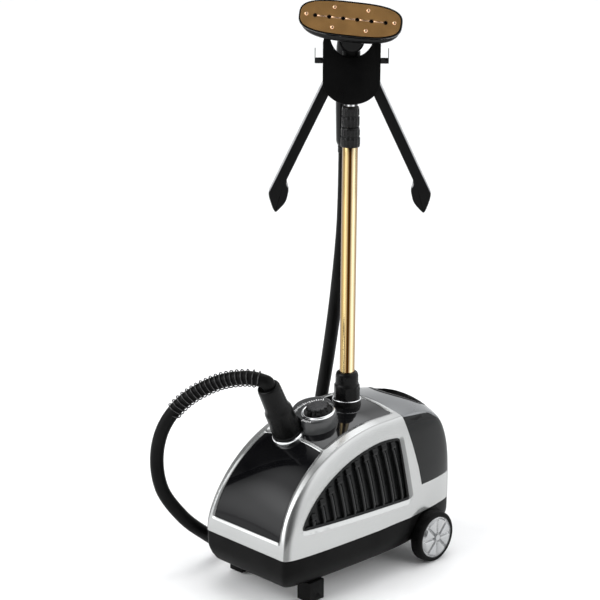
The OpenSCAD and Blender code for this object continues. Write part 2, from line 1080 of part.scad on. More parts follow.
module head_handle() {
  color([0.02, 0.02, 0.02])
  holder_frame()
    difference() {
      union() {
        neck_line();
        translate([handle_u, handle_w, 700])
          rotate_extrude()
            polygon([[0, 0], [13, 0], [15.2, 6], [16.4, 60], [17, 120], [16, 165],
              [13, 180], [0, 187]]);
      }
      translate([handle_u, handle_w, 690])
        cylinder(r = 9, h = 150);
    }
}

module hose_ferrule() {
  color([0.03, 0.03, 0.03])
  holder_frame()
    translate([handle_u, handle_w, 688])
      difference() {
        cylinder(r = 12.4, h = 12);
        translate([0, 0, 2])
          cylinder(r = 9, h = 30);
      }
}

// ---- wheels -------------------------------------------------------------

module wheel_place(s) {
  translate([s * 102, wheel_y, axle_z])
    rotate([0, s * 90, 0])
      children();
}

module tyre(s) {
  wheel_place(s)
    rotate_extrude($fn = 72)
      polygon([[35.5, 0], [40, 0], [42.6, 1.6], [wheel_radius, 4.5], [wheel_radius, 17.5],
        [42.6, 20.6], [40, 22.4], [35.5, 22.4]]);
}
module tyre_right() {
  color([0.03, 0.03, 0.03])
    tyre(1);
}
module tyre_left() {
  color([0.03, 0.03, 0.03])
    tyre(-1);
}

module hub(s) {
  wheel_place(s)
    difference() {
      rotate_extrude($fn = 72)
        polygon([[0, 2], [12, 2], [12, 8], [30, 8], [30, 1], [35.5, 1], [35.5, 22], [33, 23.4],
          [8, 23.4], [6, 24], [0, 24]]);
      translate([0, 0, 1])
        cylinder(r = axle_r + 0.05, h = 17);
      for (i = [0:7])
        rotate([0, 0, 45 * i])
          translate([10, 0, 21.8])
            linear_extrude(4)
              polygon([[0, 0], [10, -5.5], [21, -7], [22, 0], [21, 7], [10, 5.5]]);
    }
}
module hub_right() {
  color([0.72, 0.73, 0.75])
    hub(1);
}
module hub_left() {
  color([0.72, 0.73, 0.75])
    hub(-1);
}

module wheel_axle() {
  color([0.6, 0.6, 0.62])
  translate([-119, wheel_y, axle_z])
    rotate([0, 90, 0])
      cylinder(r = axle_r, h = 238);
}

module caster_place(s) {
  translate([s * caster_x, caster_y, 0])
    children();
}
caster_r = 13;
caster_trail = 7;

module caster_fork(s) {
  caster_place(s)
    difference() {
      union() {
        translate([0, 0, 36])
          cylinder(r = 8, h = 1.7);
        translate([0, 0, 36])
          cylinder(r = 4, h = 24);
        translate([-14, -10, 3])
          cube([28, 32, 33]);
      }
      translate([-8, -8, 0])
        cube([16, 29, 28]);
      translate([-20, caster_trail, caster_r])
        rotate([0, 90, 0])
          cylinder(r = 2.5, h = 40);
    }
}
module caster_fork_right() {
  color([0.03, 0.03, 0.03])
    caster_fork(1);
}
module caster_fork_left() {
  color([0.03, 0.03, 0.03])
    caster_fork(-1);
}

module caster_wheel(s) {
  caster_place(s)
    translate([0, caster_trail, caster_r])
      rotate([0, 90, 0])
        union() {
          translate([0, 0, -7])
            cylinder(r = caster_r, h = 14);
          translate([0, 0, -13.6])
            cylinder(r = 2.45, h = 27.2);
        }
}
module caster_wheel_right() {
  color([0.1, 0.1, 0.1])
    caster_wheel(1);
}
module caster_wheel_left() {
  color([0.1, 0.1, 0.1])
    caster_wheel(-1);
}

// ---- inside -------------------------------------------------------------

module boiler() {
  color([0.65, 0.65, 0.67])
  union() {
    translate([outlet_x, -77.16, 62])
      cylinder(r = 44, h = 44);
    translate([outlet_x, -77.16, 106])
      cylinder(r = 12, h = 12);
    translate([outlet_x, -77.16, 58])
      cylinder(r = 48, h = 6);
    for (a = [90, 210, 330])
      translate([outlet_x + 42 * cos(a), -77.16 + 42 * sin(a), tub_clearance + 5])
        cylinder(r = 5, h = 16);
  }
}

module thermostat() {
  color([0.8, 0.8, 0.8])
  union() {
    translate([outlet_x + 26, -60, 106])
      cylinder(r = 9, h = 7);
    translate([outlet_x + 26, -66, 113])
      cube([3, 12, 8]);
  }
}

module water_pipe() {
  color([0.8, 0.8, 0.78])
  union() {
    translate([0, cap_y, 84])
      cylinder(r = 4, h = 31);
    translate([0, cap_y, 84])
      sphere(r = 4);
    translate([0, -34.6, 84])
      rotate([-90, 0, 0])
        cylinder(r = 4, h = cap_y + 34.6);
  }
}

module cord_gland() {
  color([0.03, 0.03, 0.03])
  translate([55, 0, 62])
    rotate([-90, 0, 0])
      difference() {
        union() {
          translate([0, 0, 168])
            cylinder(r = 7, h = 34);
          translate([0, 0, 172])
            cylinder(r = 11, h = 8);
        }
        translate([0, 0, 160])
          cylinder(r = 3.5, h = 60);
      }
}

base_tub();
base_plate();
base_screws();
frame_shell();
front_panel();
top_deck();
knob_boss();
louvre_right();
louvre_left();
tank_bay();
tank_shell();
tank_cover();
tank_handle();
tank_grips();
tank_cap();
knob();
knob_cap();
knob_ring();
rotary_switch();
outlet_ring();
steam_pipe();
hose_connector();
hose_spring();
hose_loop();
hose_riser();
hose_tail();
hose_ferrule();
pole_socket();
pole_socket_ring();
pole_outer();
pole_mid();
pole_inner();
clamp_lower();
clamp_upper();
holder_bracket();
holder_plate();
hook_bars();
hook_pins();
pole_end_ring();
arm_pins();
arm_left();
arm_right();
head_shell();
head_rim();
head_plate();
head_rivets();
head_handle();
tyre_right();
hub_right();
tyre_left();
hub_left();
wheel_axle();
caster_fork_right();
caster_fork_left();
caster_wheel_right();
caster_wheel_left();
boiler();
thermostat();
water_pipe();
cord_gland();
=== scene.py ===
import json
import math
import random
import bpy
import bmesh
import numpy as np
from mathutils import Matrix, Vector, geometry

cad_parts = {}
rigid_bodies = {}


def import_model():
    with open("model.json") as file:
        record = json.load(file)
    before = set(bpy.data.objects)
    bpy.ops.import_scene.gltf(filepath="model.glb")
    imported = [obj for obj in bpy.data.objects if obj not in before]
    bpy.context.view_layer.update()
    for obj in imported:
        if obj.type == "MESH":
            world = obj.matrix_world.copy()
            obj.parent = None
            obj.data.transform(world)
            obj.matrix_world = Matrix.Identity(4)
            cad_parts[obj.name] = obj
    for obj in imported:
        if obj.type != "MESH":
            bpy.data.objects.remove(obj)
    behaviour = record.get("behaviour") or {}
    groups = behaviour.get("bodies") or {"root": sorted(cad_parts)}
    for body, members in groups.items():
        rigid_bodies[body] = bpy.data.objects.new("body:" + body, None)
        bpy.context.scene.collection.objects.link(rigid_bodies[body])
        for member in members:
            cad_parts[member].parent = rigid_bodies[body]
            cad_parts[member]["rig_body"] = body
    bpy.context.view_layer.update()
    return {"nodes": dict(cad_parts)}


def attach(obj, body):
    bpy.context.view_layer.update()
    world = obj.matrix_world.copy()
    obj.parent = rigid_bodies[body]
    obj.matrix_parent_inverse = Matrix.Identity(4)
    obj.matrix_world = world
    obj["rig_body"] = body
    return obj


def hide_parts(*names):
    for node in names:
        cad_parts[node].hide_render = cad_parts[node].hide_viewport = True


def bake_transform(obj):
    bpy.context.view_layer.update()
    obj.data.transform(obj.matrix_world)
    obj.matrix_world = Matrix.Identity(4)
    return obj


for left_over in list(bpy.data.objects):
    bpy.data.objects.remove(left_over)
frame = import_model()
random.seed(7)
MM = 0.001

# ---- camera, fitted to the photograph by its angles, distance and lens ----

cam_data = bpy.data.cameras.new("camera")
cam_data.sensor_width = 36.0
cam_data.lens = 108.0
cam = bpy.data.objects.new("camera", cam_data)
bpy.context.scene.collection.objects.link(cam)
bpy.context.scene.camera = cam
az, el, roll = math.radians(44.83), math.radians(16.29), math.radians(0.351)
back = Vector((math.sin(az) * math.cos(el), -math.cos(az) * math.cos(el), math.sin(el)))
level_right = Vector((math.cos(az), math.sin(az), 0))
level_up = back.cross(level_right)
rolled_right = level_right * math.cos(roll) + level_up * math.sin(roll)
rolled_up = level_up * math.cos(roll) - level_right * math.sin(roll)
turn = Matrix((rolled_right, rolled_up, back)).transposed().to_4x4()
cam.matrix_world = Matrix.Translation((1.92376, -2.01788, 1.27040)) @ turn

# ---- mesh helpers (millimetres in, metres out) ----


def smooth(obj, angle=None):
    """Smooth shading, with the edges that are sharper than the angle left crisp."""
    for poly in obj.data.polygons:
        poly.use_smooth = True
    if angle is not None:
        obj.data.set_sharp_from_angle(angle=math.radians(angle))


def make(name, shape, body=None, mat=None, slot=None, nodes=(), normals=None, angle=None):
    """A new piece from its points and faces, dressed as its body and look ask. Its slot is not
    used.
    """
    verts, faces = shape
    mesh = bpy.data.meshes.new(name)
    mesh.from_pydata([tuple(float(c) * MM for c in v) for v in verts], [], faces)
    mesh.validate()
    mesh.update()
    obj = bpy.data.objects.new(name, mesh)
    bpy.context.scene.collection.objects.link(obj)
    smooth(obj, angle)
    if normals is not None:
        mesh.normals_split_custom_set_from_vertices([tuple(n) for n in normals])
    return dress(obj, body, mat, nodes)


def dress(obj, body=None, mat=None, nodes=()):
    """Gives a piece its look, the CAD nodes that it replaces and its body."""
    if mat:
        obj.data.materials.clear()
        obj.data.materials.append(M[mat])
    if nodes:
        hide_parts(*nodes)
    if body:
        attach(obj, body)
    return obj


def move(points, matrix):
    """The points carried along by a matrix."""
    return [matrix @ Vector(p) for p in points]


def join_parts(parts):
    """Several sets of points and faces as one."""
    verts, faces = [], []
    for v, f in parts:
        base = len(verts)
        verts += list(v)
        faces += [tuple(i + base for i in face) for face in f]
    return verts, faces


def loft(rings, close="ends", flip=False, matrix=None):
    """A skin over rings of as many points each, closed by end faces or back to its first ring."""
    n, count = len(rings[0]), len(rings)
    verts = [p for ring in rings for p in ring]
    faces = []
    for k in range(count if close == "loop" else count - 1):
        here, there = k * n, (k + 1) % count * n
        for i in range(n):
            j = (i + 1) % n
            face = (here + i, here + j, there + j, there + i)
            faces.append((face[0], face[3], face[2], face[1]) if flip else face)
    if close == "ends":
        ends = [tuple(reversed(range(n))), tuple(range((count - 1) * n, count * n))]
        faces += [end[::-1] if flip else end for end in ends]
    return (move(verts, matrix) if matrix is not None else verts), faces


def lathe(profile, seg=96, matrix=None, ripple=None, closed=True):
    """Rings of a profile of (radius, height); ripple(angle, radius, height) gives the radius."""
    verts, faces = [], []
    n = len(profile)
    for k in range(seg):
        t = 2 * math.pi * k / seg
        for r, z in profile:
            rr = ripple(t, r, z) if ripple else r
            verts.append((rr * math.cos(t), rr * math.sin(t), z))
    for k in range(seg):
        m = (k + 1) % seg
        for i in range(n if closed else n - 1):
            j = (i + 1) % n
            faces.append((k * n + i, m * n + i, m * n + j, k * n + j))
    return (move(verts, matrix) if matrix is not None else verts), faces


def rounded(points, radius, steps=3, closed=True):
    """A polyline with its corners rounded."""
    out = []
    n = len(points)
    for i, p in enumerate(points):
        if not closed and i in (0, n - 1):
            out.append(tuple(p))
            continue
        a, b, c = Vector(points[i - 1]), Vector(p), Vector(points[(i + 1) % n])
        r = radius[i] if isinstance(radius, (list, tuple)) else radius
        d1, d2 = (a - b), (c - b)
        cut = min(r, d1.length * 0.45, d2.length * 0.45)
        if cut < 1e-6:
            out.append(tuple(p))
            continue
        s, e = b + d1.normalized() * cut, b + d2.normalized() * cut
        for k in range(steps + 1):
            t = k / steps
            out.append(tuple(s.lerp(b, t).lerp(b.lerp(e, t), t)))
    return out


def round_levels(z0, z1, r, steps=4):
    """Insets and heights of a solid's rings, with its lower and upper edges rounded."""
    low = []
    for k in range(steps + 1):
        a = math.pi / 2 * k / steps
        low.append((r * (1 - math.sin(a)), z0 + r * (1 - math.cos(a))))
    return low + [(o, z0 + z1 - z) for o, z in reversed(low)]


def level_solid(outline, levels, matrix=None, miter=0.35):
    """A solid made of one flat outline at several insets and heights."""
    pts = [Vector((p[0], p[1])) for p in outline]
    n = len(pts)
    area = sum(pts[i].x * pts[(i + 1) % n].y - pts[(i + 1) % n].x * pts[i].y for i in range(n))
    if area < 0:
        pts.reverse()
    inward = []
    for i in range(n):
        e1 = (pts[i] - pts[i - 1]).normalized()
        e2 = (pts[(i + 1) % n] - pts[i]).normalized()
        n1, n2 = Vector((-e1.y, e1.x)), Vector((-e2.y, e2.x))
        between = n1 + n2
        inward.append(between / max(between.dot(n1), miter))
    return loft([[(p.x + d.x * inset, p.y + d.y * inset, z) for p, d in zip(pts, inward)]
                 for inset, z in levels], matrix=matrix)


def refined(node, width=0.4, angle=32, segments=2, mat=None, weighted=False):
    """A copy of a CAD node with rounded edges, riding the same body."""
    src = frame["nodes"][node]
    mesh = src.data.copy()
    obj = bpy.data.objects.new(node + "_v", mesh)
    bpy.context.scene.collection.objects.link(obj)
    bm = bmesh.new()
    bm.from_mesh(mesh)
    bmesh.ops.remove_doubles(bm, verts=bm.verts, dist=2e-6)
    bmesh.ops.dissolve_limit(bm, angle_limit=math.radians(1.0), verts=bm.verts, edges=bm.edges)
    bm.to_mesh(mesh)
    bm.free()
    smooth(obj)
    mod = obj.modifiers.new("edge", "BEVEL")
    mod.width = width * MM
    mod.segments = segments
    mod.limit_method = "ANGLE"
    mod.angle_limit = math.radians(angle)
    mod.harden_normals = True
    mod.use_clamp_overlap = True
    if weighted:
        even = obj.modifiers.new("even", "WEIGHTED_NORMAL")
        even.mode = "FACE_AREA"
        even.weight = 100
    return dress(obj, src["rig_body"], mat, (node,))


# ---- materials ----


def tree_of(mat):
    mat.use_nodes = True
    t = mat.node_tree
    return t, t.nodes["Principled BSDF"]


def link(t, a, b):
    t.links.new(a, b)


def noise_node(t, scale, detail=4.0, rough=0.55, stretch=None, distortion=0.0):
    coord = t.nodes.new("ShaderNodeTexCoord")
    mapping = t.nodes.new("ShaderNodeMapping")
    mapping.inputs["Scale"].default_value = stretch or (1, 1, 1)
    link(t, coord.outputs["Object"], mapping.inputs["Vector"])
    node = t.nodes.new("ShaderNodeTexNoise")
    node.inputs["Scale"].default_value = scale
    node.inputs["Detail"].default_value = detail
    node.inputs["Roughness"].default_value = rough
    node.inputs["Distortion"].default_value = distortion
    link(t, mapping.outputs["Vector"], node.inputs["Vector"])
    return node


def ramp(t, source, low, high, a=0.0, b=1.0):
    node = t.nodes.new("ShaderNodeMapRange")
    node.inputs["From Min"].default_value = a
    node.inputs["From Max"].default_value = b
    node.inputs["To Min"].default_value = low
    node.inputs["To Max"].default_value = high
    link(t, source, node.inputs["Value"])
    return node.outputs["Result"]


def rgba(colour):
    """A colour with its alpha. One number stands for a grey."""
    return (colour, colour, colour, 1) if isinstance(colour, float) else (*colour, 1)


def colour_mix(t, fac, c1, c2):
    node = t.nodes.new("ShaderNodeMix")
    node.data_type = "RGBA"
    node.inputs[6].default_value = rgba(c1)
    node.inputs[7].default_value = rgba(c2)
    link(t, fac, node.inputs[0])
    return node.outputs[2]


def add_bump(t, bsdf, height, strength, distance=0.0002):
    node = t.nodes.new("ShaderNodeBump")
    node.inputs["Strength"].default_value = strength
    node.inputs["Distance"].default_value = distance
    link(t, height, node.inputs["Height"])
    prev = bsdf.inputs["Normal"].links
    if prev:
        link(t, prev[0].from_socket, node.inputs["Normal"])
    link(t, node.outputs["Normal"], bsdf.inputs["Normal"])
    return node


def plastic(name, c1, c2, rough=(0.2, 0.35), grain=900.0, bump=0.08, metallic=0.0, coat=0.0,
            cloud=18.0, specular=0.3, coat_rough=0.05, distance=0.0002):
    mat = bpy.data.materials.new(name)
    t, b = tree_of(mat)
    broad = noise_node(t, cloud, 3.0)
    fine = noise_node(t, grain, 3.0, 0.6)
    link(t, colour_mix(t, ramp(t, broad.outputs["Fac"], 0, 1, 0.35, 0.65), c1, c2),
         b.inputs["Base Color"])
    smear = noise_node(t, cloud * 2, 3.0, 0.5, distortion=0.4)
    link(t, ramp(t, smear.outputs["Fac"], rough[0], rough[1], 0.25, 0.75), b.inputs["Roughness"])
    b.inputs["Metallic"].default_value = metallic
    b.inputs["Coat Weight"].default_value = coat
    b.inputs["Coat Roughness"].default_value = coat_rough
    b.inputs["Specular IOR Level"].default_value = specular
    if bump:
        add_bump(t, b, fine.outputs["Fac"], bump, distance)
    return mat


def metal(name, c1, c2, rough=(0.12, 0.25), stretch=(1, 1, 1), scale=400.0, bump=0.05,
          aniso=0.0, cloud=30.0):
    mat = bpy.data.materials.new(name)
    t, b = tree_of(mat)
    streak = noise_node(t, scale, 4.0, 0.6, stretch)
    broad = noise_node(t, cloud, 3.0)
    link(t, colour_mix(t, ramp(t, streak.outputs["Fac"], 0, 1, 0.3, 0.7), c1, c2),
         b.inputs["Base Color"])
    link(t, ramp(t, broad.outputs["Fac"], rough[0], rough[1], 0.3, 0.7), b.inputs["Roughness"])
    b.inputs["Metallic"].default_value = 1.0
    b.inputs["Anisotropic"].default_value = aniso
    add_bump(t, b, streak.outputs["Fac"], bump, 0.0001)
    return mat


def own_normal(t):
    """The surface's normal in the object's own axes."""
    coord = t.nodes.new("ShaderNodeTexCoord")
    return coord.outputs["Normal"]


def multiply_base(t, b, factor):
    node = t.nodes.new("ShaderNodeMix")
    node.data_type = "RGBA"
    node.blend_type = "MULTIPLY"
    node.inputs[0].default_value = 1.0
    link(t, b.inputs["Base Color"].links[0].from_socket, node.inputs[6])
    link(t, factor, node.inputs[7])
    link(t, node.outputs[2], b.inputs["Base Color"])


def math_node(t, operation, a, b=None):
    node = t.nodes.new("ShaderNodeMath")
    node.operation = operation
    for socket, value in zip(node.inputs, (a, b)):
        if isinstance(value, (int, float)):
            socket.default_value = value
        elif value is not None:
            link(t, value, socket)
    return node.outputs[0]


def split_normal(t):
    """The three parts of the normal in the object's own axes."""
    parts = t.nodes.new("ShaderNodeSeparateXYZ")
    link(t, own_normal(t), parts.inputs[0])
    return parts.outputs


def paint_corner_shade(mat, depth):
    """Painted shade: darkens the colour of the facets between the front and the sides, standing in
    for the dark that these facets reflect.
    """
    t, b = tree_of(mat)
    x, y, z = split_normal(t)
    fold = math_node(t, "ABSOLUTE", math_node(t, "MULTIPLY", math_node(t, "MULTIPLY", x, y), 2.0))
    flat = math_node(t, "ADD", math_node(t, "ADD", math_node(t, "MULTIPLY", x, x),
                                         math_node(t, "MULTIPLY", y, y)), 0.001)
    steep = ramp(t, z, 1.0, 0.0, 0.45, 0.8)
    facet = math_node(t, "MULTIPLY", math_node(t, "DIVIDE", fold, flat), steep)
    corner_shade = ramp(t, facet, 1.0, depth, 0.52, 0.84)
    corner_shade.node.interpolation_type = "SMOOTHSTEP"
    multiply_base(t, b, corner_shade)


def paint_edge_highlight(mat, dark):
    """Painted highlight: leaves only the upward-facing edges light and darkens the rest, standing
    in for the light that a glossy bar catches on its edges.
    """
    t, b = tree_of(mat)
    edge = ramp(t, split_normal(t)["Z"], dark, 1.0, 0.08, 0.26)
    edge.node.interpolation_type = "SMOOTHSTEP"
    multiply_base(t, b, edge)


def paint_tube_reflections(mat, stops):
    """Painted reflections: lengthwise light and dark bands round a polished tube, set by the
    direction its wall faces.
    """
    t, b = tree_of(mat)
    dot = t.nodes.new("ShaderNodeVectorMath")
    dot.operation = "DOT_PRODUCT"
    dot.inputs[1].default_value = Vector((0.7071, 0.7071, 0))
    link(t, own_normal(t), dot.inputs[0])
    band = t.nodes.new("ShaderNodeValToRGB")
    link(t, ramp(t, dot.outputs["Value"], 0, 1, -1, 1), band.inputs["Fac"])
    line = band.color_ramp.elements
    line[0].position, line[0].color = stops[0][0], rgba(stops[0][1])
    line[1].position, line[1].color = stops[-1][0], rgba(stops[-1][1])
    for at, colour in stops[1:-1]:
        line.new(at).color = rgba(colour)
    multiply_base(t, b, band.outputs["Color"])


M = {
    "silver": plastic("silver_lacquer", (0.43, 0.435, 0.43), (0.45, 0.455, 0.45), (0.22, 0.26),
                      2600.0, 0.004, 0.75, 0.3, cloud=6.0, coat_rough=0.10, specular=0.5),
    # The cover's darker copy of the silver lacquer: partly the cover's own greyer tone, partly
    # painted shade on its top-facing surface.
    "silver_dark": plastic("silver_cover", (0.20, 0.205, 0.21), (0.22, 0.225, 0.23),
                           (0.26, 0.30), 2600.0, 0.004, 0.75, 0.3, cloud=6.0, coat_rough=0.10),
    "gloss": plastic("panel_gloss", (0.002, 0.002, 0.0025), (0.004, 0.004, 0.0045), (0.05, 0.09),
                     60.0, 0.004, 0.0, 0.04, coat_rough=0.03, specular=0.18, distance=0.001),
    "deck": plastic("deck_gloss", (0.003, 0.003, 0.0035), (0.006, 0.006, 0.0065), (0.05, 0.09),
                    60.0, 0.004, 0.0, 0.35, coat_rough=0.03, specular=0.40, distance=0.001),
    "boss": plastic("boss_black", (0.030, 0.031, 0.032), (0.040, 0.041, 0.042), (0.18, 0.24),
                    1400.0, 0.01, 0.0, 0.4, specular=0.4),
    "tub": plastic("tub_black", 0.002, 0.005, (0.34, 0.44), 1500.0, 0.08, specular=0.06),
    "grille": plastic("grille_black", (0.005, 0.0055, 0.0055), (0.009, 0.0095, 0.0095),
                      (0.12, 0.18), 1500.0, 0.03, specular=0.14),
    "black": plastic("satin_black", 0.002, 0.005, (0.22, 0.32), 1600.0, 0.04, specular=0.12),
    "gloss_black": plastic("shiny_black", 0.001, 0.003,
                           (0.10, 0.18), 500.0, 0.02, 0.0, 0.12, specular=0.12),
    "holder_black": plastic("holder_black", 0.001, 0.003,
                            (0.25, 0.35), 700.0, 0.03, specular=0.04),
    "rubber": plastic("hose_rubber", 0.002, 0.005, (0.38, 0.50), 1200.0, 0.10, specular=0.08),
    # The arm's light grey is a painted highlight; all but the upward-facing edges is darkened to
    # near black.
    "arm": plastic("arm_painted_highlight", (0.34, 0.34, 0.35), (0.38, 0.38, 0.39), (0.20, 0.28),
                   700.0, 0.01, specular=0.08),
    "collar": plastic("collar_black", 0.003, 0.007, (0.18, 0.26), 900.0, 0.02, specular=0.20),
    "end_ring": metal("ring_bright", (0.86, 0.87, 0.88), (0.93, 0.93, 0.94), (0.10, 0.18)),
    "wire": plastic("spring_wire", 0.004, 0.008,
                    (0.14, 0.22), 900.0, 0.04, 0.0, 0.3, specular=0.4),
    "tyre": plastic("tyre_rubber", 0.002, 0.006, (0.42, 0.58), 900.0, 0.20, specular=0.06),
    "grey_cap": plastic("cap_grey", (0.022, 0.022, 0.023), (0.030, 0.030, 0.032),
                        (0.24, 0.32), 1400.0, 0.04),
    "hub": plastic("hub_silver", (0.42, 0.425, 0.43), (0.45, 0.455, 0.46), (0.20, 0.28),
                   2200.0, 0.01, 0.75, 0.2, cloud=8.0),
    "chrome": metal("bright_trim", (0.86, 0.87, 0.88), (0.93, 0.93, 0.94), (0.08, 0.16)),
    "steel": metal("plain_steel", (0.55, 0.56, 0.58), (0.66, 0.66, 0.68), (0.22, 0.38)),
    "gold": metal("gold_tube", 0.92, 1.0, (0.16, 0.22), (1, 1, 0.02), 900.0, 0.03, 0.0),
    "bronze": metal("bronze_plate", (0.42, 0.22, 0.075), (0.54, 0.31, 0.12), (0.34, 0.44),
                    (1, 1, 1), 1800.0, 0.10, 0.0, cloud=60.0),
    "copper": metal("rivet_copper", (0.70, 0.42, 0.25), (0.85, 0.58, 0.38), (0.18, 0.28)),
    "cast": metal("cast_alloy", (0.50, 0.50, 0.52), (0.64, 0.64, 0.66), (0.38, 0.55),
                  scale=700.0, bump=0.4),
    "white_mark": plastic("scale_mark", (0.70, 0.70, 0.71), 0.80, (0.4, 0.5)),
    "silicone": plastic("silicone", (0.70, 0.70, 0.67), (0.78, 0.78, 0.75), (0.35, 0.45)),
}
# Painted shade on the silver's corner facets between front and sides.
paint_corner_shade(M["silver"], 0.42)
# Painted highlight along the arms' upward-facing edges.
paint_edge_highlight(M["arm"], 0.01)
# Painted reflections on the end ring: two bright bands, dark between them and at the sides.
paint_tube_reflections(M["end_ring"], [
    (0.04, 0.05), (0.22, 0.10), (0.34, 1.0),
    (0.44, 0.25), (0.56, 0.25), (0.66, 1.0),
    (0.80, 0.10), (0.96, 0.05)])
# Painted reflections on the gold tube: a dark middle with bright bands beside it.
paint_tube_reflections(M["gold"], [
    (0.02, (0.32, 0.22, 0.13)), (0.16, (0.50, 0.34, 0.12)), (0.24, (1.0, 0.78, 0.38)),
    (0.36, (0.56, 0.38, 0.17)), (0.44, (0.05, 0.015, 0.002)), (0.56, (0.055, 0.018, 0.002)),
    (0.68, (0.80, 0.62, 0.36)), (0.78, (1.0, 0.88, 0.56)), (0.90, (0.40, 0.27, 0.13)),
    (0.98, (0.26, 0.16, 0.08))])


def smoke_material():
    mat = plastic("tank_smoke", (0.006, 0.0065, 0.0065), (0.010, 0.011, 0.011), (0.04, 0.08),
                  60.0, 0.004, 0.0, 0.04, coat_rough=0.03, distance=0.001, specular=0.12)
    b = mat.node_tree.nodes["Principled BSDF"]
    b.inputs["Transmission Weight"].default_value = 0.25
    b.inputs["IOR"].default_value = 1.49
    return mat


M["smoke"] = smoke_material()

# ---- the housing's outer form ----

# Half the width, half the crown's width, the y where the front and rear curves meet, and the
# height of the joint with the tub
HALF_W, CREST, MID, SPLIT = 110.0, 80.0, 23.0, 90.0
# Runs to the front and the rear from MID, the height over SPLIT, and the crown's fall to CREST
FRONT_RUN, REAR_RUN, RISE, CROWN = 228.0, 182.0, 184.0, 14.0
REAR_POWER = 4.5
# Foot of the front panel, y of the trim behind it, the deck's rear edge, and v for one radian
SILL, CROSS_Y, DECK_END, UNIT = 117.0, -95.0, 66.0, 210.0
S_TABLE = np.linspace(0, 1, 500)
Q_TABLE = CREST + 35 * S_TABLE + 140 * S_TABLE ** 1.5
Q_MAX = 255.0


def q_to_x(q):
    """x at a q of the domain. q runs faster than x where the skin turns down at its sides."""
    aq = np.abs(q)
    x = np.where(aq <= CREST, aq, CREST + 30 * np.interp(aq, Q_TABLE, S_TABLE))
    return np.sign(q) * x


def x_to_q(x):
    """The q of an x, the reverse of q_to_x."""
    ax = np.abs(x)
    s = np.clip((ax - CREST) / 30, 0, 1)
    return np.sign(x) * np.where(ax <= CREST, ax, CREST + 35 * s + 140 * s ** 1.5)


def reach(x):
    """Height and the runs to front and rear of the section at x."""
    ax = np.abs(x)
    s = np.clip((ax - CREST) / 30, 0, 1)
    h = np.where(ax <= CREST, RISE - CROWN * (ax / CREST) ** 2, (RISE - CROWN) * (1 - s ** 1.5))
    f = FRONT_RUN * (1 - 0.87 * s ** 4)
    r = (REAR_RUN - 14 * (np.minimum(ax, CREST) / CREST) ** 2) * (1 - 0.75 * s ** 3)
    return h, f, r


def skin(q, v):
    """The housing's outer form."""
    x = q_to_x(q)
    h, f, r = reach(x)
    a = np.clip(v / UNIT, 0, math.pi)
    c, s = np.cos(a), np.maximum(np.sin(a), 0)
    k = (np.abs(c) ** REAR_POWER + s ** REAR_POWER + 1e-12) ** (-1 / REAR_POWER)
    front = a <= math.pi / 2
    y = np.where(front, MID - f * c, MID - r * k * c)
    z = SPLIT + np.where(front, h * s, h * k * s)
    return np.stack([x, y, z], -1)


def skin_normal(q, v):
    """The direction out of the form."""
    e = 1.0
    q0, q1 = np.clip(q - e, -Q_MAX + 0.2, Q_MAX - 0.2), np.clip(q + e, -Q_MAX + 0.2, Q_MAX - 0.2)
    v_mid = np.clip(v, 2.0, math.pi * UNIT - 2.0)
    q_mid = np.clip(q, -Q_MAX + 1.0, Q_MAX - 1.0)
    du = skin(q1, v_mid) - skin(q0, v_mid)
    dv = skin(q_mid, v_mid + e) - skin(q_mid, v_mid - e)
    n = np.cross(du, dv)
    return n / (np.linalg.norm(n, axis=-1, keepdims=True) + 1e-12)


def deck_z(x, y):
    """Height of the form over a place in plan."""
    h, f, r = reach(np.asarray(x, float))
    y = np.asarray(y, float)
    gf = np.sqrt(np.clip(1 - ((MID - y) / f) ** 2, 0, 1))
    gr = np.clip(1 - (np.clip(y - MID, 0, None) / r) ** REAR_POWER, 0, 1) ** (1 / REAR_POWER)
    return SPLIT + h * np.where(y < MID, gf, gr)


def angle_of(x, y, z):
    """The section's angle at a point of the form, from front to rear."""
    h, f, r = reach(np.asarray(x, float))
    fa = np.arctan2((z - SPLIT) / h, (MID - y) / f)
    ra = math.pi - np.arctan2((z - SPLIT) / h, (y - MID) / r)
    return np.where(y < MID, fa, ra)


def domain(x, y, z):
    """The (q, v) place of a point of the skin: q runs across it, v from front to rear."""
    return float(x_to_q(x)), float(angle_of(x, y, z)) * UNIT


def from_plan(points):
    """An outline drawn from above, on the skin."""
    return [domain(x, y, float(deck_z(x, y))) for x, y in points]


def from_front(points):
    """An outline drawn from the front, on the skin."""
    out = []
    for x, z in points:
        h = float(reach(np.asarray(x, float))[0])
        out.append((float(x_to_q(x)), math.asin(min((z - SPLIT) / h, 1)) * UNIT))
    return out


def side_x(y, z):
    """How far out the skin lies at a place in the side view."""
    lo, hi = 0.0, HALF_W - 1e-6
    if float(deck_z(0, y)) <= z:
        return 0.0
    for _ in range(40):
        m = (lo + hi) / 2
        if float(deck_z(m, y)) > z:
            lo = m
        else:
            hi = m
    return lo


def from_side(points, sign=1):
    """An outline drawn from the side, on the skin's right half or mirrored to its left."""
    places = [domain(side_x(y, z), y, z) for y, z in points]
    return [(sign * q, v) for q, v in places]


def dense(points, step=3.0, closed=True):
    """The same line with points no further apart than about a step."""
    out = []
    n = len(points)
    for i in range(n if closed else n - 1):
        a, b = np.array(points[i], float), np.array(points[(i + 1) % n], float)
        k = max(1, int(np.linalg.norm(b - a) / step))
        out += [tuple(a + (b - a) * j / k) for j in range(k)]
    if not closed:
        out.append(tuple(points[-1]))
    return out


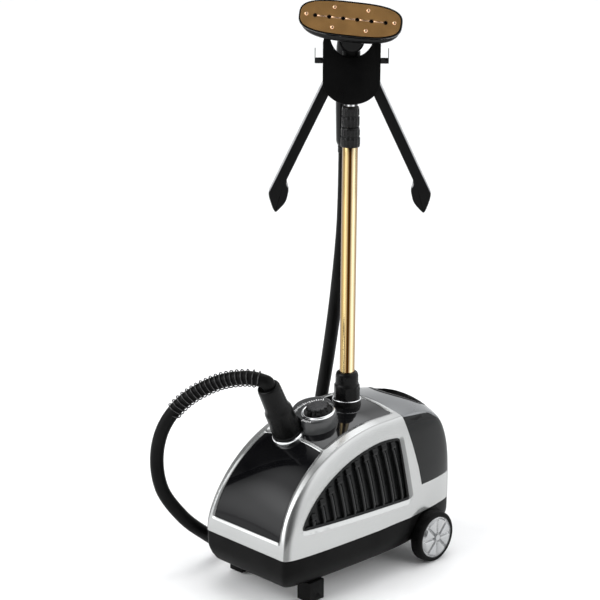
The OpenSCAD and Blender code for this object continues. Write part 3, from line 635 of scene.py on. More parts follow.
def level_loop(z_of_y, centre_y=100.0, count=150, half=True):
    """Points where the skin meets a height that depends on y, round the rear from right to left."""
    out = []
    for k in range(count + 1):
        t = math.pi * k / count
        dx, dy = math.cos(t), math.sin(t)
        lo, hi = 0.0, 140.0
        for _ in range(40):
            m = (lo + hi) / 2
            x, y = m * dx, centre_y + m * dy
            inside = abs(x) < HALF_W and float(deck_z(x, y)) > z_of_y(y)
            lo, hi = (m, hi) if inside else (lo, m)
        x, y = lo * dx, centre_y + lo * dy
        out += from_plan([(x, y)])
    return out


def inside(poly, pts):
    """Which points lie inside a closed outline."""
    poly = np.asarray(poly)
    x, y = pts[:, 0], pts[:, 1]
    hit = np.zeros(len(pts), bool)
    n = len(poly)
    for i in range(n):
        x0, y0 = poly[i]
        x1, y1 = poly[(i + 1) % n]
        cross = ((y0 > y) != (y1 > y))
        with np.errstate(divide="ignore", invalid="ignore"):
            at = (x1 - x0) * (y - y0) / (y1 - y0 + 1e-30) + x0
        hit ^= cross & (x < at)
    return hit


def near(poly, pts, dist):
    """Which points lie closer to a closed outline than a distance."""
    poly = np.asarray(poly)
    best = np.full(len(pts), 1e9)
    for i in range(len(poly)):
        a, b = poly[i], poly[(i + 1) % len(poly)]
        d = b - a
        L = float(d @ d) + 1e-12
        t = np.clip(((pts - a) @ d) / L, 0, 1)
        best = np.minimum(best, np.linalg.norm(pts - (a + t[:, None] * d), axis=1))
    return best < dist


V_MAX = math.pi * UNIT


def loop_offsets(loop, into_region):
    """Steps in the domain for one millimetre into the region, square to the edge on the skin."""
    p = np.asarray(loop, float)
    t = np.roll(p, -1, 0) - np.roll(p, 1, 0)
    q, v = p[:, 0], p[:, 1]
    e = 1.0
    q0, q1 = np.clip(q - e, -Q_MAX, Q_MAX), np.clip(q + e, -Q_MAX, Q_MAX)
    v0, v1 = np.clip(v - e, 0, V_MAX), np.clip(v + e, 0, V_MAX)
    jq = (skin(q1, v) - skin(q0, v)) / (q1 - q0)[:, None]
    jv = (skin(q, v1) - skin(q, v0)) / (v1 - v0)[:, None]
    n = skin_normal(q, v)
    t3 = jq * t[:, :1] + jv * t[:, 1:]
    t3 /= np.linalg.norm(t3, axis=1, keepdims=True) + 1e-12
    side = np.cross(n, t3)
    out = np.zeros_like(p)
    for i in range(len(p)):
        J = np.stack([jq[i], jv[i]], 1)
        out[i] = np.linalg.lstsq(J, side[i], rcond=None)[0]
    limit = 3.0
    size = np.linalg.norm(out, axis=1, keepdims=True)
    out = out * np.minimum(1, limit / (size + 1e-9))
    area = np.sum(p[:, 0] * np.roll(p[:, 1], -1) - np.roll(p[:, 0], -1) * p[:, 1])
    if (area < 0) == into_region:
        out = -out
    return out, side * (1 if (area > 0) == into_region else -1)


# (share of the lip's width, share of its depth, tilt of the normal) from the edge inwards
LIP_ROLL = [(0.0, 1.0, 1.0), (0.3, 0.42, 0.62), (1.0, 0.0, 0.0)]
LIP_FOLD = [(0.0, 1.0, 0.9), (0.10, 0.72, 0.55), (0.9, 0.06, 0.45), (1.0, 0.0, 0.0)]


def within(loops, pts):
    """Which points lie inside the first loop and outside all the others."""
    ok = inside(loops[0], pts)
    for hole in loops[1:]:
        ok &= ~inside(hole, pts)
    return ok


def edge_rows(loops, lips):
    """Rows of points along each loop, with their links, their depths and their normals' tilts."""
    pts, edges, depth, tilt = [], [], [], []
    for k, (loop, lip) in enumerate(zip(loops, lips)):
        off, side = loop_offsets(loop, k == 0)
        width, drop = lip if isinstance(lip, tuple) else (lip, lip)
        n = len(off)
        for out, down, lean in LIP_FOLD if isinstance(lip, tuple) else LIP_ROLL:
            row = np.asarray(loop, float) + off * width * out
            row[:, 0] = np.clip(row[:, 0], -Q_MAX, Q_MAX)
            row[:, 1] = np.clip(row[:, 1], 0, V_MAX)
            start = len(pts)
            pts += [tuple(r) for r in row]
            depth += [down * drop] * n
            tilt += [tuple(-s * lean) for s in side]
            edges += [(start + i, start + (i + 1) % n) for i in range(n)]
    return pts, edges, depth, tilt


def grid_within(loops, step, lips):
    """Staggered points of the domain that keep clear of every loop's rows."""
    grid_q = np.arange(-Q_MAX + 2, Q_MAX - 1, step)
    grid_v = np.arange(2, V_MAX - 1, step)
    gq, gv = np.meshgrid(grid_q, grid_v)
    odd = (np.arange(len(grid_v)) % 2 * step * 0.5)[:, None]
    grid = np.stack([(gq + odd).ravel(), gv.ravel()], 1)
    grid = grid[within(loops, grid)]
    for loop in loops:
        grid = grid[~near(loop, grid, step * 0.7)]
    for loop, lip in zip(loops, lips or []):
        width = lip[0] if isinstance(lip, tuple) else lip
        grid = grid[~near(loop, grid, width * 1.25 + step * 0.25)]
    return grid


def closed_shell(tris, top, low, normal):
    """Outward faces on top, inward faces below and a wall round every edge."""
    count = len(top)
    faces = []
    for f in tris:
        a, b, c = (Vector(top[i]) for i in f)
        if (b - a).cross(c - a).dot(Vector(normal[f[0]])) < 0:
            f = tuple(reversed(f))
        faces.append(f)
    bottom = [tuple(count + i for i in reversed(f)) for f in faces]
    directed = dict.fromkeys((f[i], f[(i + 1) % 3]) for f in faces for i in range(3))
    walls = [(b, a, count + a, count + b) for a, b in directed if (b, a) not in directed]
    return np.concatenate([top, low]), faces + bottom + walls


def skin_piece(name, outer, holes, thick=3.0, lip=0.9, inset=0.0, step=4.0, sculpt=None,
               lips=None, **kw):
    """A shell cut from the housing's form. Its edges roll or fold under by their lips."""
    loops = [outer] + holes
    pts, edges, depth, tilt = edge_rows(loops, lips or [lip] * len(loops))
    grid = grid_within(loops, step, lips)
    pts += [tuple(g) for g in grid]
    depth += [0.0] * len(grid)
    tilt += [(0, 0, 0)] * len(grid)
    out = geometry.delaunay_2d_cdt([Vector(p) for p in pts], edges, [], 0, 1e-5)
    flat = np.array([(p.x, p.y) for p in out[0]])
    tris = [tuple(f) for f in out[2]]
    sunk, lean = np.zeros(len(flat)), np.zeros((len(flat), 3))
    for i, origin in enumerate(out[3]):
        if origin:
            sunk[i] = max(depth[j] for j in origin)
            lean[i] = tilt[origin[0]]
    middle = np.array([flat[list(f)].mean(0) for f in tris])
    tris = [f for f, keep in zip(tris, within(loops, middle)) if keep]
    used = sorted({i for f in tris for i in f})
    place = {old: new for new, old in enumerate(used)}
    tris = [tuple(place[i] for i in f) for f in tris]
    skin_at = skin(flat[:, 0], flat[:, 1])
    normal = skin_normal(flat[:, 0], flat[:, 1])
    if sculpt is not None:
        sunk = sunk + sculpt(skin_at, normal, flat)
    top = (skin_at - normal * (sunk + inset)[:, None])[used]
    low = (skin_at - normal * (thick + inset))[used]
    shown = normal + lean
    shown = (shown / np.linalg.norm(shown, axis=1, keepdims=True))[used]
    shape = closed_shell(tris, top, low, normal[used])
    if sculpt is not None:
        return make(name, shape, angle=50, **kw)
    return make(name, shape, normals=np.concatenate([shown, -normal[used]]), **kw)


# ---- outlines on the form ----

up_y = CROSS_Y - 3.0


def front_outline(g):
    """Front opening: sides from the front view, top edge at the cross trim."""
    pts = []
    for k in range(13):
        pts.append((-75 + g + (150 - 2 * g) * k / 12, SILL + g))
    side = []
    for k in range(1, 13):
        z = SILL + g + (262 - SILL) * k / 12
        x = 75 - 12 * (z - SILL) / (262 - SILL) - g
        if z < float(deck_z(x, up_y - g)) - 2:
            side.append((x, z))
    low = from_front(pts + side)
    x_top = 63.6 - g
    top = from_plan([(x, up_y - g) for x in np.linspace(x_top, -x_top, 25)])
    left = from_front([(-x, z) for x, z in reversed(side)])
    loop = low + top + left
    return [(float(q), float(v)) for q, v in dense(loop, 3.0)]


def soften(loop, count):
    """Rounds the corners of a dense loop by averaging along it."""
    p = np.asarray(loop, float)
    for _ in range(count):
        p = 0.25 * np.roll(p, 1, 0) + 0.5 * p + 0.25 * np.roll(p, -1, 0)
    return [tuple(a) for a in p]


def deck_outline(g):
    """The top deck's edge, g inside its opening."""
    y0 = CROSS_Y + 3.0 + g
    pts = [(-63 + g, y0), (63 - g, y0), (66 - g, DECK_END - g), (-66 + g, DECK_END - g)]
    return soften(from_plan(dense(pts, 3.0)), 3)


ARCH_RUN, ARCH_RISE, ARCH_BASE, ARCH_POWER = 200, 126, 105, 1.8


def window_top(y, g):
    """Height of the side window's arch, g inside its edge."""
    u = (MID - y) / (ARCH_RUN - g)
    return ARCH_BASE + (ARCH_RISE - g) * max(1 - abs(u) ** ARCH_POWER, 0) ** (1 / ARCH_POWER)


def window_points(g):
    along = [MID - (ARCH_RUN - g) * (0.96 * (1 - i / 48) - 0.2 * i / 48) for i in range(49)]
    return [(y, window_top(y, g)) for y in along] + [(74 - g, 120 + g), (-166 + 1.6 * g, 132 + g)]


def window_outline(g, sign):
    """The side window's edge, g inside its opening."""
    return soften(from_side(dense(window_points(g), 3.0), sign), 2)


# The tank bay's front edge in the side view, from the crown down to its floor
BAY_FLOOR, COVER_Y = 137.0, 78.2
BAY_LINE = [(71, 300), (73, 270), (79, 250), (91, 205), (99, 170), (104, 137)]


def line_down(points, g):
    """Right-hand side of a line across the tank bay, from the crown down."""
    line = dense([(y + g, z) for y, z in points], 2.0, closed=False)
    places = [(side_x(y, z), y, z) for y, z in line]
    return [domain(*place) for place in places if place[0] > 0.5]


def crown_point(points, g):
    """Where a line across the tank bay meets the middle of the skin."""
    for y, z in dense([(y + g, z) for y, z in points], 0.25, closed=False):
        if float(deck_z(0, y)) >= z:
            return from_plan([(0.0, y)])[0]


def mirrored(points):
    return [(-q, v) for q, v in reversed(points)]


def bay_loop(g, floor):
    """The tank bay's opening: down its front line and round the rear at the floor."""
    down = [p for p in line_down(BAY_LINE, g) if p[0] > 2]
    rear = level_loop(lambda y: floor, BAY_LINE[-1][0] + g, 170)
    return [crown_point(BAY_LINE, g)] + down + rear[1:-1] + mirrored(down)


outer_loop = dense([(-Q_MAX, 0.0), (Q_MAX, 0.0), (Q_MAX, V_MAX), (-Q_MAX, V_MAX)], 4.0)

# ---- frame, panels and tank ----

HANDLE_HALF, HANDLE_FRONT, HANDLE_BOW, HANDLE_REAR = 58.0, 111, 31, 168


def cover_z(y):
    """Height of the joint between the tank and its cover."""
    return float(np.interp(y, [77, 78, 124, 141, 160, 175, 240],
                           [257.1, 257, 252, 249.5, 238, 227, 206]))


def handle_plan(g):
    """The tank handle's outline from above, with its bowed front."""
    pts = []
    for i in range(-16, 17):
        x = (HANDLE_HALF - g) * i / 16
        pts.append((x, HANDLE_FRONT + g + HANDLE_BOW * (i / 16) ** 2))
    w = HANDLE_HALF - g
    return pts + [(w, 152), (54 - g, HANDLE_REAR - g), (-54 + g, HANDLE_REAR - g), (-w, 152)]


def handle_outline(g):
    return soften(from_plan(dense(handle_plan(g), 2.5)), 2)


def tank_outline(g):
    """The smoked tank below its cover."""
    low = BAY_FLOOR + g
    line = dense([(y + g, z) for y, z in BAY_LINE], 2.0, closed=False)
    side = from_side([(y, z) for y, z in line if low < z < cover_z(y) - 1.0])
    floor = level_loop(lambda y: low, BAY_LINE[-1][0] + g, 150)
    top = level_loop(lambda y: cover_z(y) - 0.3, COVER_Y + g, 130)
    return side + floor[1:-1] + mirrored(side) + list(reversed(top))


def cover_outline(g):
    """The tank's cover, from the bay's front edge round to the rear."""
    line = dense([(y + g, z) for y, z in BAY_LINE], 1.5, closed=False)
    side = from_side([(y, z) for y, z in line if z > cover_z(y) + 0.8 and side_x(y, z) > 2])
    ring = level_loop(lambda y: cover_z(y) + 0.3, COVER_Y + g, 130)
    return [crown_point(BAY_LINE, g)] + side + ring + mirrored(side)


skin_piece(
    "frame_skin", outer_loop,
    [front_outline(0), deck_outline(0), window_outline(0, 1), window_outline(0, -1),
     bay_loop(0, BAY_FLOOR)],
    thick=3.0, step=3.6, lips=[0.6, (4.6, 1.5), (4.6, 1.5), (7.5, 3.2), (7.5, 3.2), 1.0],
    body="housing", mat="silver", slot="silver_lacquer", nodes=("frame_shell",))
skin_piece("front_panel_skin", front_outline(0.5), [], 2.6, 0.9, 1.7, 3.6,
                         body="housing", mat="gloss", slot="panel_gloss",
                         nodes=("front_panel",))
skin_piece("deck_skin", deck_outline(0.5), [], 2.6, 0.9, 1.7, 3.6,
                        body="housing", mat="deck", slot="panel_gloss", nodes=("top_deck",))
skin_piece("tank_skin", tank_outline(0.7), [], 3.0, 0.8, 0.4, 3.6,
                        body="tank", mat="smoke", slot="tank_smoke", nodes=("tank_shell",))
skin_piece("cover_skin", cover_outline(0.7), [handle_outline(0)], 2.8, 0.8, 0.1,
                         3.2, body="tank", mat="silver_dark", slot="silver_lacquer",
                         nodes=("tank_cover",))


def handle_relief(P, N, flat):
    """A finger recess between the front bar and the rear bar of the tank's handle."""
    x, y = P[:, 0], P[:, 1]
    front = HANDLE_FRONT + HANDLE_BOW * (x / HANDLE_HALF) ** 2
    t = y - front
    end = np.clip((54 - np.abs(x)) / 6, 0, 1)
    dip = np.clip((t - 7) / 2.5, 0, 1) * np.clip((HANDLE_REAR - 9 - y) / 5, 0, 1) * end
    dip = dip * dip * (3 - 2 * dip)
    return 8.0 * dip


skin_piece("tank_grip_bar", handle_outline(0.4), [], 12.0, 0.8, -0.4, 1.8, sculpt=handle_relief,
           body="tank", mat="black", slot="handle_plastic", nodes=("tank_handle",))


def grip_pad(sign):
    """A finger pad's outline on the side of the cover."""
    pts = dense([(90, 250), (118, 251), (124, 248), (108, 245.5)], 2.0)
    return from_side(pts, sign)


for s, tag in ((1, "r"), (-1, "l")):
    skin_piece("finger_pad_" + tag, grip_pad(s), [], 1.4, 0.5, -0.5, 2.0, body="tank",
               mat="black", slot="handle_plastic", nodes=("tank_grips",))

# ---- louvres ----

SLATS, SLAT_W, TAB = 9, 12.0, 9.5
PITCH = 200 / SLATS


def slot_lean(z):
    """How far to the rear a slat stands at a height. It leans forward as it rises."""
    return 9 - 0.09 * (z - 130) - 0.0006 * (z - 130) ** 2


def on_side(y, z, depth, sign):
    """A point under the skin at a place in the side view."""
    x = side_x(y, z)
    q, v = (np.array([c]) for c in domain(x, y, z))
    p = skin(q, v)[0] - skin_normal(q, v)[0] * depth
    return (sign * p[0], p[1], p[2])


def window_floor(y, g):
    """Height of the side window's lower edge, which falls to the rear."""
    return 132 + g + (y + 166) / 240 * -12


def slat_part(y_left, z0, z1, sign, width, prof):
    """A leaning bar between two heights, with a profile across it."""
    rows = max(4, int((z1 - z0) / 5))
    verts, faces = [], []
    n = len(prof)
    for r in range(rows + 1):
        z = z0 + (z1 - z0) * r / rows
        y = y_left + slot_lean(z)
        end_drop = 1.6 if r in (0, rows) else 0.0
        for t, d in prof:
            verts.append(on_side(y + t * width, z, d + end_drop, sign))
    for r in range(rows):
        for i in range(n - 1):
            f = (r * n + i, r * n + i + 1, (r + 1) * n + i + 1, (r + 1) * n + i)
            faces.append(f if sign > 0 else tuple(reversed(f)))
    low, high = tuple(range(n)), tuple(rows * n + i for i in range(n))
    faces.append(tuple(reversed(low)) if sign > 0 else low)
    faces.append(high if sign > 0 else tuple(reversed(high)))
    back = [(r * n, (r + 1) * n, (r + 1) * n + n - 1, r * n + n - 1) for r in range(rows)]
    faces += [f if sign > 0 else tuple(reversed(f)) for f in back]
    return verts, faces


# (share of the width, depth under the skin) across a slat and across its tab
BLADE = [(0.0, 9.0), (0.0, 3.0), (0.04, 2.1), (0.12, 1.8), (0.26, 1.9), (0.5, 2.9), (0.75, 4.6),
         (0.93, 6.2), (0.98, 6.9), (1.0, 9.0)]
STEP = [(0.0, 9.0), (0.0, 3.0), (0.06, 2.3), (0.94, 2.3), (1.0, 3.0), (1.0, 9.0)]


def louvre(sign, tag):
    """One side grille: a back plate, leaning slats with a stepped tab on top, and a rim."""
    back_plate = skin_piece("grille_back_" + tag, window_outline(-0.5, sign), [], 2.0, 0.5, 8.2,
                            4.0)
    parts = []
    for i in range(-1, SLATS + 1):
        left = -166 + PITCH * (i + 0.1) + 0.8 * (PITCH - SLAT_W)
        mid_y = left + SLAT_W / 2 + 9
        top = window_top(mid_y - 4, 9.5)
        first = window_floor(mid_y, 3.5)
        for _ in range(2):
            y_at = left + slot_lean(top)
            top = min(window_top(y_at, 5.0), window_top(y_at + SLAT_W, 5.0))
        past_window = left + slot_lean(150) + SLAT_W > 78 or left + 9 < -160
        if past_window or top - first < 14:
            continue
        parts.append(slat_part(left, first, top - TAB, sign, SLAT_W, BLADE))
        parts.append(slat_part(left + 1.5, top - TAB - 1, top, sign, SLAT_W - 2, STEP))
    slats = make("grille_slats_" + tag, join_parts(parts), angle=40)
    lip = skin_piece("grille_rim_" + tag, window_outline(0.2, sign),
                     [window_outline(4.2, sign)], 7.0, 0.6, 2.4, 3.0)
    node = "louvre_right" if sign > 0 else "louvre_left"
    for part in (back_plate, slats, lip):
        dress(part, "housing", "grille", (node,))


louvre(1, "r")
louvre(-1, "l")

# ---- tub ----


def plan_ring(inset, z, count=36):
    """The housing's outline in plan, a little inside it."""
    pts = []
    xs = [HALF_W * math.sin(math.pi / 2 * k / count) for k in range(-count, count + 1)]
    k = (HALF_W - inset) / HALF_W
    for x in xs:
        pts.append((x * k, MID - float(reach(x)[1]) + inset))
    for x in reversed(xs):
        pts.append((x * k, MID + float(reach(x)[2]) - inset))
    return [(x, y, z) for x, y in pts]


def cut(obj, cutter):
    """Takes the cutter's solid out of the piece."""
    mod = obj.modifiers.new("cut", "BOOLEAN")
    mod.operation = "DIFFERENCE"
    mod.object = cutter
    mod.solver = "EXACT"
    dg = bpy.context.evaluated_depsgraph_get()
    bpy.context.view_layer.update()
    mesh = bpy.data.meshes.new_from_object(obj.evaluated_get(dg))
    obj.modifiers.clear()
    obj.data = mesh
    bpy.data.objects.remove(cutter)


# (inset, height) of the tub, from its floor up to the silver shell
levels = [(16, 38), (13.6, 38.6), (11.4, 40.4), (9.4, 43.6), (5.8, 50), (3.0, 57), (1.4, 63),
          (0.8, 68), (0.6, 76), (0.5, 86), (0.7, 88.6), (1.3, 89.9)]
tub = make("tub_skin", loft([plan_ring(inset, z) for inset, z in levels]))
WHEEL_Y, AXLE_Z, WHEEL_R = 121.0, 43.5, 43.5
for s in (-1, 1):
    shape = lathe([(0, 0), (WHEEL_R + 4, 0), (WHEEL_R + 4, 40), (0, 40)], 96,
                 Matrix.Translation((s * 99, WHEEL_Y, AXLE_Z))
                 @ Matrix.Rotation(math.radians(90 * s), 4, "Y"), closed=False)
    cut(tub, make("well", shape))
shape = level_solid([(-60.2, -120.2), (60.2, -120.2), (60.2, 90.2), (-60.2, 90.2)],
                   round_levels(30, 43.4, 0.01, 1))
cut(tub, make("pocket", shape))
smooth(tub, 40)
dress(tub, "housing", "tub", ("base_tub",))

# ---- knob and its boss ----


def tilted(x, y, z, degrees):
    """A place whose height axis leans to the front by an angle."""
    return Matrix.Translation((x, y, z)) @ Matrix.Rotation(math.radians(degrees), 4, "X")


BOSS = tilted(6.8, -54.7, 280.3, 13)
KNOB = BOSS @ Matrix.Translation((6, 3, 0))
TILT = 26.5
out_z = float(deck_z(-12, CROSS_Y))
OUTLET = tilted(-12, CROSS_Y, out_z, TILT)


def boss_swell(t, r, z):
    """The boss is egg-shaped, longer to the rear left."""
    lobe = max(0.0, math.cos(t - math.radians(145)))
    return r + 18.7 * lobe * lobe * min(1.0, r / 32)


boss_profile = [(0, -38), (36.9, -38), (36.3, -20), (35.8, -8), (35.5, -3.4), (35.1, -1.9),
                (34.3, -0.8), (33.0, -0.15), (31.4, 0), (16, 0), (0, 0)]
boss = make("boss_body", lathe(boss_profile, 160, BOSS, boss_swell, closed=False))
shape = lathe([(0, -90), (27.6, -90), (27.6, 90), (0, 90)], 128, OUTLET, closed=False)
cut(boss, make("ring_clearance", shape))
smooth(boss, 40)
dress(boss, "housing", "boss", ("knob_boss",))
ring_profile = [(23.4, -0.2), (28.0, -0.2), (28.0, 1.6), (27.6, 2.9), (26.8, 3.5), (25.4, 3.6),
                (24.2, 3.1), (23.6, 2.0)]
make("knob_ring_v", lathe(ring_profile, 128, KNOB), "housing", "chrome", "chrome_trim",
     ("knob_ring",), angle=60)


def knob_ripple(t, r, z):
    """Twelve scallops round the knob, above its foot."""
    if z < 4.0 or r < 15:
        return r
    wave = max(0.0, math.cos(12 * t)) ** 2
    return r - (2.2 if r > 16.5 else 1.0) * wave * min(1, (z - 4.0) / 1.0)


knob_profile = [(0, 0.4), (21.4, 0.4), (22.3, 0.9), (22.3, 2.2), (21.8, 3.0), (21.2, 3.8),
                (20.8, 4.8), (20.3, 7), (19.8, 9.2), (19.2, 10.4), (18.4, 11.0), (17.4, 11.1),
                (17.0, 10.8), (16.9, 10.0), (0, 10.0)]
make("knob_body", lathe(knob_profile, 240, KNOB, knob_ripple, closed=False), "control_knob",
     "gloss_black", "knob_plastic", ("knob",), angle=50)
cap_profile = [(17.0, 9.8), (17.0, 11.2), (16.7, 11.8), (16.0, 12.15), (12, 12.3), (0, 12.35),
               (0, 9.8)]
make("knob_cap_v", lathe(cap_profile, 240, KNOB, knob_ripple), "control_knob",
     "grey_cap", "knob_face", ("knob_cap",), angle=50)
marks = []
for first, last, radius, count in ((122, 209, 40.0, 17), (262, 290, 32.6, 6)):
    for k in range(count):
        a = first + (last - first) * k / (count - 1)
        length = (3.0, 1.5, 2.1)[k % 3]
        place = KNOB @ Matrix.Rotation(math.radians(a), 4, "Z") @ Matrix.Translation((radius, 0, 0))
        tick = [(-length, -0.8), (length, -0.8), (length, 0.8), (-length, 0.8)]
        marks.append(level_solid(tick, round_levels(-0.2, 0.25, 0.1, 1), place))
make("scale_marks", join_parts(marks), "housing", "white_mark", "boss_plastic")

# ---- steam outlet ----

ring_profile = [(18, -6), (27.2, -6), (27.2, 1.5), (27.0, 3.2), (26.4, 4.6), (25.7, 5.4),
                (25.1, 5.0), (25.0, 3.4), (18, 3.4)]
make("outlet_ring_v", lathe(ring_profile, 128, OUTLET), "housing", "chrome", "chrome_trim",
     ("outlet_ring",), angle=60)
connector_profile = [
    (0, 3.5), (24.0, 3.5), (24.7, 4.2), (24.9, 5.2), (24.9, 8.6), (24.4, 9.4), (24.2, 10.2),
    (24.3, 11.0), (23.9, 20), (23.4, 36), (23.0, 50), (22.9, 52.6), (22.5, 54.4), (21.6, 56.6),
    (20.6, 59.0), (20.0, 61.6), (19.7, 65), (19.4, 78), (19.1, 90), (18.9, 97), (18.6, 100),
    (17.9, 102.4), (16.8, 103.7), (15.4, 104), (12.4, 104), (12.0, 102), (0, 102)]


def connector_ripple(t, r, z):
    """Six shallow flutes along the connector's lower half."""
    if 14 < z < 50:
        lobe = max(0.0, math.cos(6 * t)) ** 8
        return r - 0.55 * lobe * min(1, (z - 14) / 4, (50 - z) / 4)
    return r


make("connector_body", lathe(connector_profile, 160, OUTLET, connector_ripple, closed=False),
     "housing", "black", "connector_plastic", ("hose_connector",), angle=50)

# ---- hose ----

HOSE_R, SAMPLES, LOOP_STEP, HOSE_STEP = 11.25, 24, 2.6, 3.0
CONNECTOR_LONG = 104
tip = (-12, CROSS_Y - CONNECTOR_LONG * math.sin(math.radians(TILT)),
       out_z + CONNECTOR_LONG * math.cos(math.radians(TILT)))
# The route, as in part.scad: out of the connector, down to the floor, and up to the head
loop_points = [
    tip, (tip[0], tip[1] - 9 * 0.446, tip[2] + 9 * 0.895), (-42, -162, 352), (-88, -184, 337),
    (-132, -212, 303), (-160, -232, 256), (-172, -238, 200), (-166, -232, 144),
    (-148, -206, 96), (-138, -172, 62), (-148, -120, 26), (-158, -60, 13), (-164, 10, 13),
    (-163, 62, 24)]
riser_points = [
    (-163, 62, 24), (-158, 92, 70), (-148, 104, 140), (-134, 106, 230), (-104, 91, 318),
    (-72, 72, 410), (-50, 60, 494), (-38, 54, 560)]
tail_points = [(-38, 54, 560), (-32.5, 50.4, 604), (-28.8, 47.4, 652), (-27.9, 46.7, 687.3)]


def catmull(points, n):
    """A smooth curve through the points, with n samples between one and the next."""
    pts = [np.array(p, float) for p in points]
    ext = [pts[0]] + pts + [pts[-1]]
    out = []
    for i in range(1, len(ext) - 2):
        a, b, c, d = ext[i - 1], ext[i], ext[i + 1], ext[i + 2]
        for k in range(n):
            t = k / n
            out.append(0.5 * (2 * b + (c - a) * t + (2 * a - 5 * b + 4 * c - d) * t * t
                              + (3 * b - a - 3 * c + d) * t ** 3))
    out.append(pts[-1])
    return out


def evenly(line, step):
    """The same line with points at equal steps."""
    p = np.array(line)
    s = np.concatenate([[0], np.cumsum(np.linalg.norm(np.diff(p, axis=0), axis=1))])
    n = max(2, int(round(s[-1] / step)))
    at = np.linspace(0, s[-1], n + 1)
    return np.stack([np.interp(at, s, p[:, i]) for i in range(3)], 1)


def frames_along(p):
    """Directions along a line and two square to it that do not twist."""
    t = np.gradient(p, axis=0)
    t /= np.linalg.norm(t, axis=1, keepdims=True)
    n = np.zeros_like(p)
    seed = np.array([0.7, -0.71, 0.1])
    n[0] = seed - t[0] * (seed @ t[0])
    n[0] /= np.linalg.norm(n[0])
    for i in range(1, len(p)):
        v = n[i - 1] - t[i] * (n[i - 1] @ t[i])
        n[i] = v / np.linalg.norm(v)
    return t, n, np.cross(t, n)


def tube_mesh(p, radius, seg=36):
    t, n, b = frames_along(p)
    turn_by = [2 * math.pi * k / seg for k in range(seg)]
    return loft([[p[i] + radius * (math.cos(a) * n[i] + math.sin(a) * b[i]) for a in turn_by]
                 for i in range(len(p))])


full = catmull(loop_points + riser_points[1:] + tail_points[1:], SAMPLES)
# The riser ends a little below the CAD join, so that the tail is six diameters long.
n_loop = (len(loop_points) - 1) * SAMPLES
n_riser = (len(riser_points) - 1) * SAMPLES - 4
loop_line = evenly(full[:n_loop + 1], LOOP_STEP)
riser_line = evenly(full[n_loop:n_loop + n_riser + 1], HOSE_STEP)
tail_line = evenly(full[n_loop + n_riser:], HOSE_STEP)

loop_obj = make("hose_loop_v", tube_mesh(loop_line, HOSE_R), "housing", "rubber", "hose_rubber",
                ("hose_loop",), angle=60)
riser_obj = make("hose_riser_v", tube_mesh(riser_line, HOSE_R), None, "rubber", "hose_rubber",
                 ("hose_riser",), angle=60)
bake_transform(riser_obj)
tail_obj = make("hose_tail_v", tube_mesh(tail_line, HOSE_R), None, "rubber", "hose_rubber",
                ("hose_tail",), angle=60)
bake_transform(tail_obj)

# The spring starts a few samples along the loop and ends where the loop has come down to its foot.
SPRING_START, SPRING_R, WIRE, SPRING_FOOT = 8.0, HOSE_R + 2.3, 1.1, 283.0
COIL_PITCH, COIL_SIDES = 8.5, 22
span = int(np.argmax((loop_line[:, 2] < SPRING_FOOT) & (loop_line[:, 1] < -200)))
_, n_, b_ = frames_along(loop_line)
coil = []
steps = int((span - SPRING_START) * LOOP_STEP / COIL_PITCH) * COIL_SIDES
for k in range(steps + 1):
    s = SPRING_START + (span - SPRING_START) * k / steps
    i = int(s)
    w = s - i
    c = loop_line[i] * (1 - w) + loop_line[i + 1] * w
    nn = n_[i] * (1 - w) + n_[i + 1] * w
    bb = b_[i] * (1 - w) + b_[i + 1] * w
    a = 2 * math.pi * k / COIL_SIDES
    coil.append(c + SPRING_R * (math.cos(a) * nn + math.sin(a) * bb))
spring_obj = make("hose_guard_spring", tube_mesh(np.array(coil), WIRE, 8), "housing", "wire",
                  "spring_wire", ("hose_spring",))

# ---- pole ----

POLE = Matrix.Translation((0, 28, 0))
socket_z = float(deck_z(0, 28)) + 4


def ribbed(count, depth, z0, z1, width=0.55):
    """Lengthwise grip ribs for lathe, between two heights."""
    def ripple(t, r, z):
        if z0 < z < z1 and r > 12:
            lobe = max(0.0, math.cos(count * t)) ** (1 / width)
            return r + depth * (lobe - 0.5) * min(1, (z - z0) / 1.5, (z1 - z) / 1.5)
        return r
    return ripple


def levels_between(a, b, count):
    """Points of a straight line after its first."""
    return [(a[0] + (b[0] - a[0]) * k / count, a[1] + (b[1] - a[1]) * k / count)
            for k in range(1, count + 1)]


s0 = socket_z
profile = [(12.6, s0 - 9), (24.0, s0 - 9), (23.8, s0 + 2.6), (23.2, s0 + 3.2), (21.5, s0 + 3.4)]
profile += levels_between((21.5, s0 + 3.4), (21.4, s0 + 26), 6)
profile += [(21.0, s0 + 28), (20.2, s0 + 29.4), (19.4, s0 + 30.2), (19.1, s0 + 31.4)]
profile += levels_between((19.1, s0 + 31.4), (18.9, s0 + 44), 4)
profile += [(18.3, s0 + 47), (17.2, s0 + 49.6), (15.2, s0 + 51), (13.2, s0 + 51), (12.6, s0 + 50)]
make("socket_body", lathe(profile, 168, POLE, ribbed(7, 0.9, s0 + 5, s0 + 27)), "housing",
     "black", "connector_plastic", ("pole_socket",), angle=50)
profile = [(21, s0 + 2.9), (23.2, s0 + 2.9), (23.8, s0 + 3.3), (24.0, s0 + 4.1), (23.7, s0 + 4.9),
           (23.1, s0 + 5.2), (22.3, s0 + 5.0), (21, s0 + 4.8)]
make("socket_ring_v", lathe(profile, 128, POLE), "housing", "chrome", "chrome_trim",
     ("pole_socket_ring",), angle=60)


def tube_part(name, r, bore, z0, z1, body, node):
    """One tube of the telescopic pole."""
    prof = [(bore, z0), (r - 0.3, z0), (r, z0 + 0.3)]
    prof += levels_between((r, z0 + 0.3), (r, z1 - 0.3), 12)
    prof += [(r - 0.3, z1), (bore, z1)]
    make(name, lathe(prof, 96, POLE), body, "gold", "pole_gold", (node,), angle=50)


